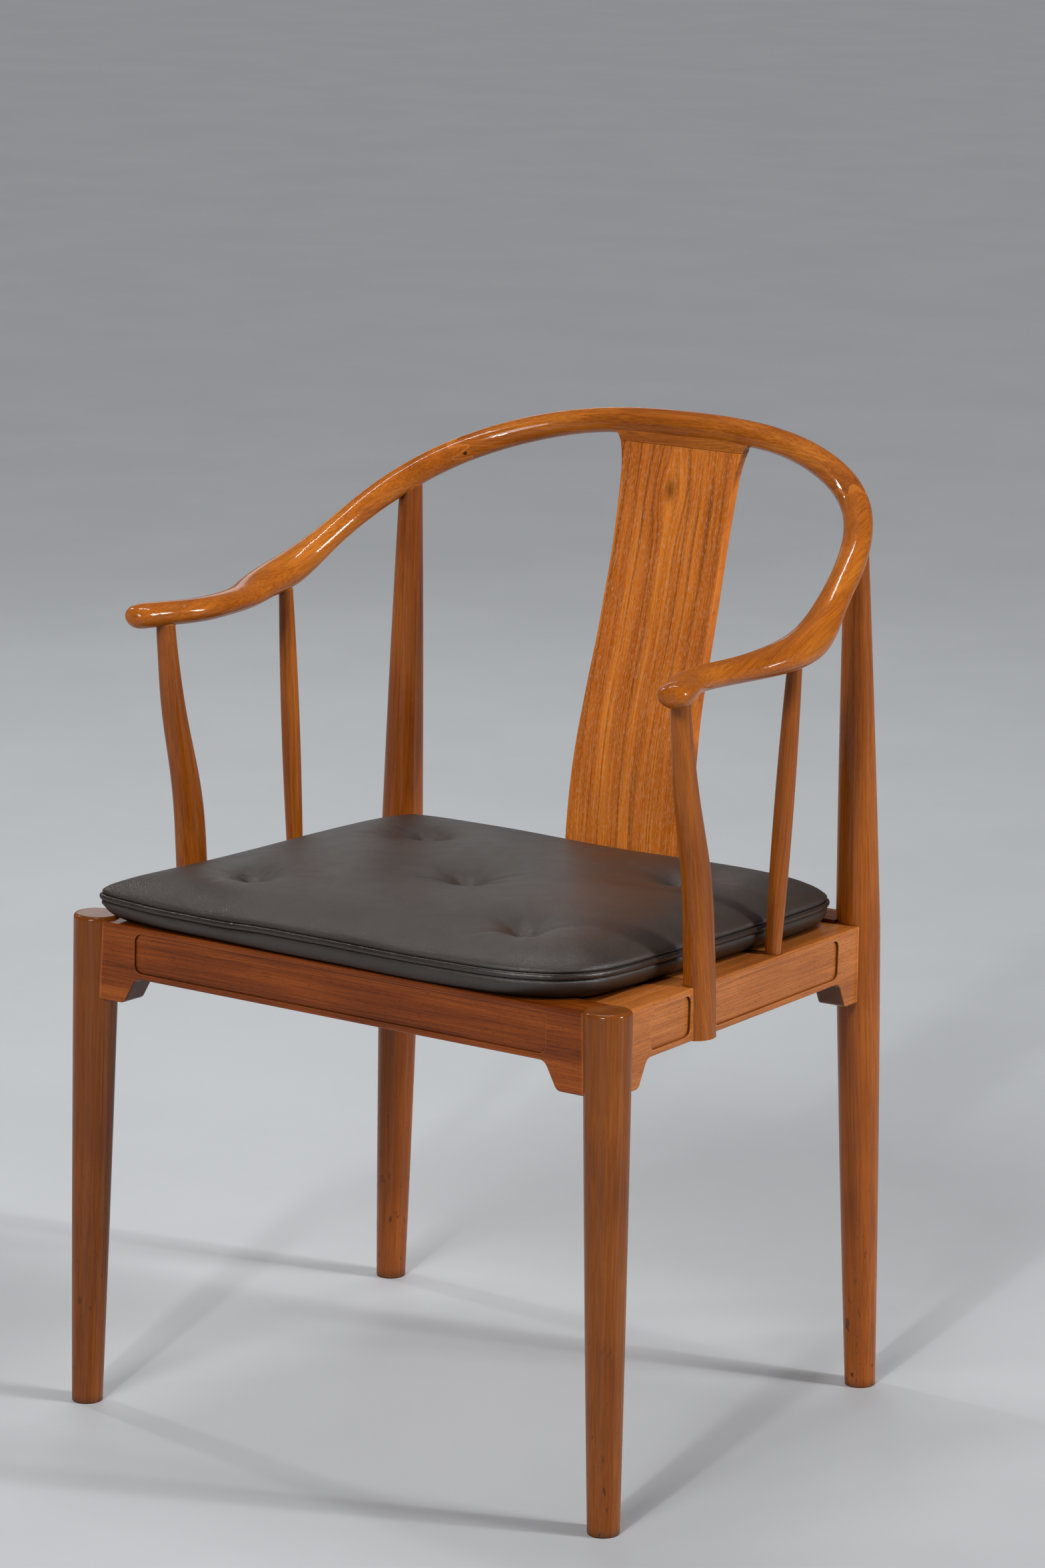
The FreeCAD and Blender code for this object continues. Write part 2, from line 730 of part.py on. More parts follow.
def zigzag():
    """The finger joint's outline, from above the rail to below it; crest fingers point along the arm."""
    reach = half(size("finger_length"))
    blunt = half(size("finger_tip"))
    gap = half(size("finger_pitch"))
    corners = []
    for step in FINGER_SHARES:
        middle = size("finger_shift") + size("finger_pitch") * step
        corners += [(-reach, middle + gap + blunt), (-reach, middle + gap - blunt),
                    (reach, middle + blunt), (reach, middle - blunt)]
    return corners


# The space that the right arm takes from the bent rail: everything beyond a zigzag across the rail.
joint_spot = bow_spot_at(size("joint_span"))
joint_place = bow_place(joint_spot)
JOINT_ALONG = joint_place.Rotation.multVec(UP)
JOINT_LEVEL = joint_place.Rotation.multVec(ACROSS)
arm_space = new_body("arm_space", axes_place(joint_spot, JOINT_ALONG, JOINT_LEVEL.cross(JOINT_ALONG) * -1))
reach = size("arm_reach")
teeth = zigzag()
arm_space_face = draw(new_sketch(arm_space, "arm_space_face"),
                      [(teeth[0][0], half(reach))] + teeth
                      + [(teeth[-1][0], -half(reach)), (reach, -half(reach)), (reach, half(reach))])
pad(arm_space, "arm_space_block", arm_space_face, reach, both_ways=True)
left_arm_space = mirrored("left_arm_space", arm_space)

# Arm posts: sawn from the side rail's outer face up to the arm, bent forward and drawn in towards the top.


def arm_post_section(number, rise, lean, wide, deep):
    height = between(size("arm_post_foot_height"), arm_post_top_height, rise)
    back = between(size("arm_post_foot_back"), size("arm_post_top_back"), lean)
    across = between(size("arm_post_foot_span"), arm_post_top_span, rise)
    place = axes_place(spot(across, from_front(back), height), UP.cross(ACROSS), -ACROSS)
    deep_half = size("arm_post_depth") * deep
    return oval(f"arm_post_section_{number}", deep_half, size("arm_post_width") * wide, place)


arm_post_blank = loft("arm_post_blank", [arm_post_section(number, *shares)
                                         for number, shares in enumerate(ARM_POST_SHARES)])
ARM_POST_TOP = spot(arm_post_top_span, from_front(size("arm_post_top_back")), arm_post_top_height)
arm_post_tenon = round_tenon("arm_post_tenon", size("arm_post_tenon_radius"), -size("tenon_length"),
                             size("tenon_length") * (1 / HALF_SHARE), Placement(ARM_POST_TOP, Rotation()))
arm_post_right = joined("arm_post_right", [cut("arm_post_body", arm_post_blank, [bow]), arm_post_tenon])

# Spindles: slim turned rods between the side rails and the elbows of the arms, with round tenons at both ends.

SPINDLE_FOOT = spot(size("spindle_foot_span"), from_front(size("spindle_foot_back")), size("spindle_foot_height"))
SPINDLE_TOP = spot(spindle_top_span, from_front(size("spindle_top_back")), spindle_top_height)
SPINDLE_PLACE = standing_place(SPINDLE_FOOT, SPINDLE_TOP)
spindle_height = spindle_top_height - size("spindle_foot_height")
spindle_blank = turned("spindle_blank",
                       [(ZERO, ZERO), (size("spindle_foot_radius"), ZERO),
                        [(size("spindle_middle_radius"), half(spindle_height))],
                        (size("spindle_top_radius"), spindle_height), (ZERO, spindle_height)], SPINDLE_PLACE)
spindle_tenon = round_tenon("spindle_tenon", size("spindle_tenon_radius"), -half(size("tenon_length")),
                            spindle_height + size("tenon_length"), SPINDLE_PLACE)
spindle_right = joined("spindle_right", [cut("spindle_body", spindle_blank, [bow, side_rail_blank]), spindle_tenon])

# Rear posts run on above the seat and end under the arms.

REAR_PLACE = standing_place(REAR_FOOT, REAR_TOP)
rear_tenon = round_tenon("rear_tenon", size("rear_tenon_radius"), rear_top_height - size("tenon_length"),
                         size("tenon_length") + half(size("tenon_length")), REAR_PLACE)
rear_post_body = cut("rear_post_body", rear_post_blank, [FLOOR_WASTE, back_tenon, side_rear_tenon, bow])
rear_post_right = joined("rear_post_right", [rear_post_body, rear_tenon])
front_leg_right = cut("front_leg_right", front_leg_blank, [FLOOR_WASTE, front_tenon, side_front_tenon])

# Back splat: an upright board with two easy bends, waisted, let into the back rail and the crest.

splat_body = new_body("splat_blank")


def splat_side_spot(rise, lean, deep=ZERO):
    return (from_front(between(size("splat_foot_back"), splat_top_back, lean)) + deep,
            between(size("splat_foot_height"), splat_top_height, rise))


def splat_bends(deep):
    """One face of the splat seen from the side, from its foot to its top."""
    spots = [splat_side_spot(rise, lean, deep) for rise, lean in SPLAT_BEND_SHARES]
    return [splat_side_spot(0, 0, deep), spots[0], [spots[1]], spots[2], [spots[3]], spots[4]]


splat_profile = draw(new_sketch(splat_body, "splat_profile", "YZ_Plane"),
                     splat_bends(ZERO) + splat_bends(size("splat_depth"))[::-1])
pad(splat_body, "splat_plank", splat_profile, size("splat_half") * (BLOCK_SHARE / HALF_SHARE), both_ways=True)


def splat_waste_corners(side):
    """What is sawn away beside the splat on one side."""
    spots = [(size("splat_half") * (out * side), between(size("splat_foot_height"), splat_top_height, rise))
             for rise, out in SPLAT_SIDE_SHARES]
    edge = size("splat_half") * (BLOCK_SHARE * side)
    outline = [spots[0], spots[1], [spots[2]], spots[3], [spots[4]], spots[5], [spots[6]], spots[7], [spots[8]],
               spots[9]]
    return [(edge, spots[0][1])] + outline + [(edge, spots[9][1])]


for side, name in ((1, "right"), (-1, "left")):
    waste = draw(new_sketch(splat_body, f"splat_{name}_waste", "XZ_Plane"), splat_waste_corners(side))
    pocket(splat_body, f"splat_{name}_side", waste, size("arm_reach") * (1 / HALF_SHARE), both_ways=True)

splat_tenon_span = size("splat_tenon_half")
splat_tenon_deep = size("splat_tenon_thickness")
splat_top_tenon = box("splat_top_tenon", (-splat_tenon_span, from_front(splat_top_back)
                                          + size("splat_tenon_inset"),
                                          splat_top_height - size("splat_tenon_length")),
                      (splat_tenon_span * (1 / HALF_SHARE), splat_tenon_deep,
                       size("splat_tenon_length") * (1 / HALF_SHARE)))
splat_foot_tenon = box("splat_foot_tenon", (-splat_tenon_span, from_front(size("splat_foot_back"))
                                            + size("splat_tenon_inset"),
                                            size("splat_foot_height") - half(size("splat_tenon_length"))),
                       (splat_tenon_span * (1 / HALF_SHARE), splat_tenon_deep,
                        size("splat_tenon_length") * (1 / HALF_SHARE)))
back_splat = joined("back_splat", [cut("splat_board", splat_body, [back_rail_blank]), splat_top_tenon,
                                   splat_foot_tenon])

# Crest: the middle of the bent rail, with a web under it that meets the splat in two hollow ears.

web_body = new_body("crest_web", Placement(spot(ZERO, from_front(splat_top_back)), Rotation()))
ear = size("ear_radius")
ear_bend = ear * QUARTER_SHARE
web_top = splat_top_height + ear
splat_half = size("splat_half")
web_face = draw(new_sketch(web_body, "crest_web_face", "XZ_Plane"),
                [(-splat_half, splat_top_height), (splat_half, splat_top_height),
                 [(splat_half + ear - ear_bend, splat_top_height + ear_bend)], (splat_half + ear, web_top),
                 (splat_half + ear, size("crest_height")), (-splat_half - ear, size("crest_height")),
                 (-splat_half - ear, web_top), [(ear_bend - ear - splat_half, splat_top_height + ear_bend)]])
pad(web_body, "crest_web_block", web_face, size("splat_depth"), backwards=True)
crest_bow = cut("crest_bow", bow, [arm_space, left_arm_space])
crest_rail = cut("crest_rail", joined("crest_blank", [crest_bow, web_body]), [splat_top_tenon])

arm_right = cut("arm_right", common("arm_blank", [bow, arm_space]), [arm_post_tenon, spindle_tenon, rear_tenon])

# The rails, fitted to the legs and to each other.

front_rail = joined("front_rail", [cut("front_rail_body", front_rail_blank,
                                       [front_leg_blank, left_front_leg_blank, board_groove]),
                                   front_tenon, left_front_tenon])
back_rail = joined("back_rail", [cut("back_rail_body", back_rail_blank,
                                     [rear_post_blank, left_rear_post_blank, board_groove, splat_foot_tenon]),
                                 back_tenon, left_back_tenon])
side_rail_right = joined("side_rail_right", [cut("side_rail_body", side_rail_blank,
                                                 [front_leg_blank, rear_post_blank, front_rail_blank,
                                                  back_rail_blank, board_groove, arm_post_blank, spindle_tenon]),
                                             side_front_tenon, side_rear_tenon])

# Cushion: a border that narrows downwards, a piped edge and a crowned top with five sewn tufts.

CUSHION_PLACE = lifted(SEAT_PLACE, out=size("cushion_gap"))


def rounded_corners(inset, corner):
    """A rectangle with round corners, drawn in from the cushion's piped edge."""
    wide = size("cushion_half_width") - inset
    front = inset - size("cushion_overhang")
    rear = size("cushion_length") - size("cushion_overhang") - inset
    bend = corner * (1 - QUARTER_SHARE)
    return [(ZERO, front), (wide - corner, front), [(wide - bend, front + bend)], (wide, front + corner),
            (wide, rear - corner), [(wide - bend, rear - bend)], (wide - corner, rear),
            (corner - wide, rear), [(bend - wide, rear - bend)], (-wide, rear - corner),
            (-wide, front + corner), [(bend - wide, front + bend)], (corner - wide, front)]


def cushion_outline(name, inset, corner, height):
    sketch = doc.addObject("Sketcher::SketchObject", name)
    sketch.Placement = lifted(CUSHION_PLACE, out=height)
    return draw(sketch, rounded_corners(inset, corner))


border = loft("cushion_border", [cushion_outline("cushion_foot", size("cushion_drawn_in"), size("cushion_corner"),
                                                 ZERO),
                                 cushion_outline("cushion_edge", ZERO, size("cushion_corner"),
                                                 size("cushion_border"))], ruled=True)
crown = loft("cushion_crown", [cushion_outline(f"crown_outline_{number}", size("cushion_half_width") * drawn,
                                               size("cushion_corner") * corner,
                                               size("cushion_border") + size("cushion_crown") * rise)
                               for number, (rise, drawn, corner) in enumerate(CROWN_SHARES)])

piping_body = new_body("cushion_piping", lifted(CUSHION_PLACE, out=size("cushion_border")))
piping_path = draw(new_sketch(piping_body, "piping_path"), rounded_corners(ZERO, size("cushion_corner")))
piping_section = new_sketch(piping_body, "piping_section", "YZ_Plane")
ring_circle = Part.Circle(spot(-size("cushion_overhang")), UP, float(size("piping_radius")))
ring = piping_section.addGeometry(ring_circle, False)
pin(piping_section, ring, 3, (-size("cushion_overhang"), ZERO))
ring_radius = piping_section.addConstraint(Sketcher.Constraint("Radius", ring, float(size("piping_radius"))))
piping_section.setExpression(f"Constraints[{ring_radius}]", size("piping_radius").text)
piping = piping_body.newObject("PartDesign::AdditivePipe", "piping_tube")
piping.Profile = piping_section
piping.Spine = (piping_path, [])


def tuft(name, across, back, rise):
    """The trumpet shaped hollow that a sewn tuft draws into the cushion's top."""
    surface = size("cushion_crown") * rise
    wide = size("tuft_radius")
    button = size("tuft_button_radius")
    deep = size("tuft_depth")
    place = lifted(CUSHION_PLACE, across, back, size("cushion_border") + surface)
    return turned(name, [(ZERO, -deep), (button, -deep),
                         [(between(button, wide, TUFT_BEND_SHARES[0]), -deep * (1 - TUFT_BEND_SHARES[1]))],
                         (wide, ZERO), (wide, deep), (ZERO, deep)], place)


tufts = [tuft("middle_tuft", ZERO, size("middle_tuft_back"), MIDDLE_TUFT_SHARE)]
for name, back in (("front", size("front_tuft_back")), ("rear", size("rear_tuft_back"))):
    tufts.append(tuft(f"{name}_right_tuft", size("tuft_half_gap"), back, OUTER_TUFT_SHARE))
    tufts.append(mirrored(f"{name}_left_tuft", tufts[-1]))
seat_cushion = cut("seat_cushion", joined("cushion_blank", [border, crown]), [piping_body] + tufts)

# The finished pieces by name; the left hand ones mirror the right hand ones.

PIECES = {
    "front_right_leg": front_leg_right,
    "front_left_leg": mirrored("front_leg_left", front_leg_right),
    "rear_right_post": rear_post_right,
    "rear_left_post": mirrored("rear_post_left", rear_post_right),
    "front_rail": front_rail,
    "back_rail": back_rail,
    "right_side_rail": side_rail_right,
    "left_side_rail": mirrored("side_rail_left", side_rail_right),
    "seat_board": seat_board,
    "front_batten": front_batten,
    "rear_batten": rear_batten,
    "crest_rail": crest_rail,
    "right_arm": arm_right,
    "left_arm": mirrored("arm_left", arm_right),
    "back_splat": back_splat,
    "right_arm_post": arm_post_right,
    "left_arm_post": mirrored("arm_post_left", arm_post_right),
    "right_spindle": spindle_right,
    "left_spindle": mirrored("spindle_left", spindle_right),
    "seat_cushion": seat_cushion,
    "cushion_piping": piping_body,
}

doc.recompute()
broken = [f"{item.Label}: {item.State}" for item in doc.Objects if {"Invalid", "Error"} & set(item.State)]
if broken:
    raise RuntimeError("these objects did not build: " + ", ".join(broken))
for node, piece in PIECES.items():
    piece.Label = node
    if piece.Shape.isNull() or not piece.Shape.isValid() or len(piece.Shape.Solids) != 1:
        raise RuntimeError(f"{node} is not one sound solid: {len(piece.Shape.Solids)} solids")

os.makedirs("parts", exist_ok=True)
for node, piece in PIECES.items():
    piece.Shape.exportStep(f"parts/{node}.step")
print(f"{len(PIECES)} pieces written")
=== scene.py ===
import math

import bmesh
import bpy
import numpy as np
from mathutils import Matrix, Vector, noise


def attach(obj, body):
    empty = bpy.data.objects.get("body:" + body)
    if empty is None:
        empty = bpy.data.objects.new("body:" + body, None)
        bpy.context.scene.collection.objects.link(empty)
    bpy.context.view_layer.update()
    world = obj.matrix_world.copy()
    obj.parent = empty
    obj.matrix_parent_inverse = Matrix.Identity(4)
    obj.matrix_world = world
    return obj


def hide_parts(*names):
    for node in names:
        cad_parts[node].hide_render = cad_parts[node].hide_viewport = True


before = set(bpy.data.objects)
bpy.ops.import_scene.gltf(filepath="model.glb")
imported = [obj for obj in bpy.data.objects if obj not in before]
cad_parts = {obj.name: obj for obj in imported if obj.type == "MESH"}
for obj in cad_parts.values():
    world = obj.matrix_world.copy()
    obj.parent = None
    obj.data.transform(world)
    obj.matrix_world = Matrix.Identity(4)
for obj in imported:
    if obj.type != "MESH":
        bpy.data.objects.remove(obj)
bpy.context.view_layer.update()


# Shader helpers: a value is a number, a colour or the output of another node

def new_material(name):
    material = bpy.data.materials.new(name)
    material.use_nodes = True
    return material, material.node_tree, material.node_tree.nodes["Principled BSDF"]


def plug(tree, socket, value):
    """Links the socket to another node's output, or sets it."""
    if isinstance(value, bpy.types.NodeSocket):
        tree.links.new(value, socket)
    else:
        socket.default_value = value


def add(tree, kind, settings=None, **inputs):
    """A new node. Spaces in the names of its inputs are written as underscores."""
    node = tree.nodes.new(kind)
    for key, value in (settings or {}).items():
        setattr(node, key, value)
    for key, value in inputs.items():
        plug(tree, node.inputs[key.replace("_", " ")], value)
    return node


def math_node(tree, operation, first, second=0.0, third=0.0):
    node = tree.nodes.new("ShaderNodeMath")
    node.operation = operation
    for socket, value in zip(node.inputs, (first, second, third)):
        plug(tree, socket, value)
    return node.outputs[0]


def times(tree, first, second):
    return math_node(tree, "MULTIPLY", first, second)


def times_plus(tree, first, second, third):
    return math_node(tree, "MULTIPLY_ADD", first, second, third)


def vector_math(tree, operation, *values):
    node = add(tree, "ShaderNodeVectorMath", {"operation": operation})
    for socket, value in zip(node.inputs, values):
        plug(tree, socket, value)
    return node.outputs


def separate(tree, vector):
    return add(tree, "ShaderNodeSeparateXYZ", Vector=vector).outputs


def combine(tree, x, y, z):
    return add(tree, "ShaderNodeCombineXYZ", X=x, Y=y, Z=z).outputs[0]


def object_place(tree):
    return add(tree, "ShaderNodeTexCoord").outputs["Object"]


def object_normal(tree):
    return add(tree, "ShaderNodeTexCoord").outputs["Normal"]


def ramp(tree, factor, stops, interpolation="EASE"):
    """Colours against the factor, from stops of (place, colour)."""
    node = tree.nodes.new("ShaderNodeValToRGB")
    node.color_ramp.interpolation = interpolation
    while len(node.color_ramp.elements) < len(stops):
        node.color_ramp.elements.new(0.5)
    for element, (place, colour) in zip(node.color_ramp.elements, stops):
        element.position = place
        element.color = (*colour, 1.0)
    tree.links.new(factor, node.inputs["Fac"])
    return node.outputs["Color"]


def fade(tree, factor, *stops, interpolation="EASE"):
    """Shades of grey against the factor, from stops of (place, value)."""
    return ramp(tree, factor, [(place, (value, value, value)) for place, value in stops], interpolation)


def mix(tree, factor, first, second, blend="MIX"):
    node = tree.nodes.new("ShaderNodeMix")
    node.data_type = "RGBA"
    node.blend_type = blend
    sockets = {(socket.name, socket.type): socket for socket in node.inputs}
    plug(tree, sockets["Factor", "VALUE"], factor)
    for name, colour in (("A", first), ("B", second)):
        is_output = isinstance(colour, bpy.types.NodeSocket)
        plug(tree, sockets[name, "RGBA"], colour if is_output else (*colour, 1.0))
    return [socket for socket in node.outputs if socket.type == "RGBA"][0]


def shaded(tree, factor, colour, shade):
    """The colour multiplied by the shade, as far as the factor says."""
    return mix(tree, factor, colour, shade, "MULTIPLY")


def stretched(tree, place, scale, shift=(0.0, 0.0, 0.0)):
    return add(tree, "ShaderNodeMapping", Vector=place, Scale=scale, Location=shift).outputs[0]


def noise_at(tree, place, detail, rough=0.55, scale=1.0):
    node = add(tree, "ShaderNodeTexNoise", Vector=place, Scale=scale, Detail=detail, Roughness=rough)
    return node.outputs["Fac"]


def centred(tree, value, share):
    """Brings noise to both sides of zero."""
    return times(tree, math_node(tree, "SUBTRACT", value, 0.5), share)


def cavity(tree, reach, inside=False):
    """1 on open surfaces, towards 0 in corners; inside, towards 0 at thin edges of the piece itself."""
    settings = {"samples": 4, "inside": inside, "only_local": inside}
    return add(tree, "ShaderNodeAmbientOcclusion", settings, Distance=reach).outputs["AO"]


# Wood: every piece is cut from its own board, with the grain along its own axis.
# Noise scales are per metre, twice across the grain and then along it.

WANDER_SCALE = (8, 8, 2.2)
WANDER_PUSH = (0.018, 0.018, 0.0)
BAND_SCALE = (55, 55, 1.3)
STREAK_SCALE, STREAK_SHIFT = (210, 210, 3.4), (1.1, 0.3, 0.0)
FIBRE_SCALE = (700, 700, 12)
CLOUD_SCALE = (15, 15, 9)
VEIN_SCALE, VEIN_SHIFT = (120, 120, 0.9), (3.1, 1.7, 0.4)
VEIN_GROUP_SCALE, VEIN_GROUP_SHIFT = (22, 22, 0.8), (0.7, 0.2, 2.0)
PORE_SCALE, PORE_SHIFT = (1700, 1700, 190), (0.3, 0.9, 0.2)
WAX_SCALE = (2300, 2300, 210)
MARK_SCALE = (150, 150, 60)
SKIN_SCALE = (260, 260, 90)

BOW_CENTRE_Y = -0.08        # the bent rail's plan is nearly an arc round this place on the middle plane
BOW_RADIUS = 0.35
KNOT = (-0.0045, 0.7513)    # x and z, on the splat
KNOT_WIDE, KNOT_HIGH = 0.012, 0.022
PEG_HOLE = (0.1936, 0.1951, 0.7718)     # on the right; the left is its mirror
PEG_HOLE_REACH = 0.005
FOOT_REACH = 0.25
CORNER_REACH, EDGE_REACH = 0.0045, 0.0022

PALE_WAX = (0.66, 0.40, 0.23)
KNOT_HEART = (0.090, 0.022, 0.004)
FOOT_MARK = (0.030, 0.012, 0.006)
FOOT_STAIN = (0.045, 0.018, 0.008)
PEG_SHADE = (0.020, 0.007, 0.003)
END_GRAIN = (0.028, 0.010, 0.004)
# the colour of the painted shade in corners and recesses
CORNER_SHADE = (0.040, 0.012, 0.003)


def grain_turn(node, along):
    """The turn that brings the piece's length onto Z."""
    places = np.empty(3 * len(node.data.vertices))
    node.data.vertices.foreach_get("co", places)
    places = places.reshape(-1, 3)
    run = places[:, "XYZ".index(along)]
    low, high = run.min(), run.max()
    share = 0.2 * (high - low)
    ends = [places[run < low + share].mean(0), places[run > high - share].mean(0)]
    return Vector(ends[1] - ends[0]).normalized().rotation_difference(Vector((0, 0, 1))).to_euler()


def bow_axes(tree, place):
    """The bent rail's own axes: outwards, upwards and along its plan."""
    x, y, z = separate(tree, place)
    y = math_node(tree, "ADD", y, -BOW_CENTRE_Y)
    square = times_plus(tree, x, x, times(tree, y, y))
    run = times(tree, math_node(tree, "ARCTAN2", x, y), BOW_RADIUS)
    return combine(tree, math_node(tree, "SQRT", square), z, run)


def knot_push(tree, place, knot):
    """Grain that parts round a small knot at (x, z), and the knot's heart."""
    x, y, z = separate(tree, place)
    across = math_node(tree, "SUBTRACT", x, knot[0])
    upward = math_node(tree, "SUBTRACT", z, knot[1])
    across_share = math_node(tree, "DIVIDE", across, KNOT_WIDE)
    upward_share = math_node(tree, "DIVIDE", upward, KNOT_HIGH)
    square = times_plus(tree, across_share, across_share, times(tree, upward_share, upward_share))
    near = math_node(tree, "EXPONENT", times(tree, square, -0.5))
    push = times(tree, times(tree, near, across), -0.75)
    moved = combine(tree, math_node(tree, "ADD", x, push), y, z)
    return moved, math_node(tree, "EXPONENT", times(tree, square, -5.0))


def grain_lines(tree, turned, depth):
    """The board's own place, wandering slowly, so that no line of grain is straight."""
    board = stretched(tree, turned, (1, depth, 1))
    wander = add(tree, "ShaderNodeTexNoise", Vector=stretched(tree, board, WANDER_SCALE), Scale=1.0, Detail=2.0,
                 Roughness=0.5)
    return vector_math(tree, "MULTIPLY_ADD", wander.outputs["Color"], WANDER_PUSH, board)[0]


def with_veins(tree, colour, lines, share):
    """Thin dark lines of late wood, in groups."""
    stripe = noise_at(tree, stretched(tree, lines, VEIN_SCALE, VEIN_SHIFT), 1.0, 0.4)
    thin = fade(tree, stripe, (0.455, 1.0), (0.490, 0.36), (0.510, 0.52), (0.560, 1.0))
    group_noise = noise_at(tree, stretched(tree, lines, VEIN_GROUP_SCALE, VEIN_GROUP_SHIFT), 1.0)
    group = fade(tree, group_noise, (0.44, 0.0), (0.56, 1.0))
    return mix(tree, times(tree, group, share), colour, shaded(tree, 1.0, colour, thin))


def with_pale_pores(tree, colour, lines, share):
    """Pores filled with pale wax, on the faces to the front and back only."""
    filling = noise_at(tree, stretched(tree, lines, WAX_SCALE, PORE_SHIFT), 1.0, 0.5)
    filled = fade(tree, filling, (0.53, 0.0), (0.66, 1.0))
    facing = math_node(tree, "ABSOLUTE", separate(tree, object_normal(tree))["Y"])
    filled = times(tree, filled, fade(tree, facing, (0.5, 0.0), (0.8, 1.0)))
    return mix(tree, times(tree, filled, share), colour, PALE_WAX)


def with_worn_foot(tree, colour, place, cloud, share):
    """Rubbed and stained towards the floor, with a few dark marks."""
    height = separate(tree, place)["Z"]
    marks = fade(tree, noise_at(tree, stretched(tree, place, MARK_SCALE), 2.0, 0.7), (0.62, 0.0), (0.70, 1.0))
    low = fade(tree, times(tree, height, 1.0 / FOOT_REACH), (0.0, 1.0), (0.9, 0.0), interpolation="LINEAR")
    uneven = times_plus(tree, height, 60.0, times(tree, cloud, 0.9))
    stain = fade(tree, uneven, (0.45, 1.0), (1.0, 0.0))
    colour = mix(tree, times(tree, times(tree, marks, low), share), colour, FOOT_MARK)
    return mix(tree, times(tree, stain, 0.6 * share), colour, FOOT_STAIN)


def with_peg_hole(tree, colour, place):
    """Painted shade of the small hole at the root of the middle finger of each finger joint."""
    x, y, z = separate(tree, place)
    folded = combine(tree, math_node(tree, "ABSOLUTE", x), y, z)
    far = vector_math(tree, "DISTANCE", folded, PEG_HOLE)["Value"]
    hole_shade = fade(tree, times(tree, far, 1.0 / PEG_HOLE_REACH), (0.26, 0.95), (0.44, 0.0))
    return mix(tree, hole_shade, colour, PEG_SHADE)


def with_end_grain(tree, colour, along, share):
    """Darker on the faces cut across the grain."""
    facing = math_node(tree, "ABSOLUTE", separate(tree, object_normal(tree))[along])
    return mix(tree, fade(tree, facing, (0.30, 0.0), (0.75, share)), colour, END_GRAIN)


def with_corner_shade_and_edge_light(tree, colour, cloud, edge_light_tone):
    """Painted shade: darker in corners and recesses. The thin edges are lighter, partly rubbed lacquer and
    partly a painted highlight.
    """
    corner_shade = fade(tree, cavity(tree, CORNER_REACH), (0.35, 0.88), (0.85, 0.0))
    colour = mix(tree, corner_shade, colour, CORNER_SHADE)
    thin = fade(tree, cavity(tree, EDGE_REACH, inside=True), (0.35, 0.42), (0.80, 0.0))
    edge_light = times(tree, thin, fade(tree, cloud, (0.35, 0.4), (0.6, 1.0)))
    return mix(tree, edge_light, colour, edge_light_tone)


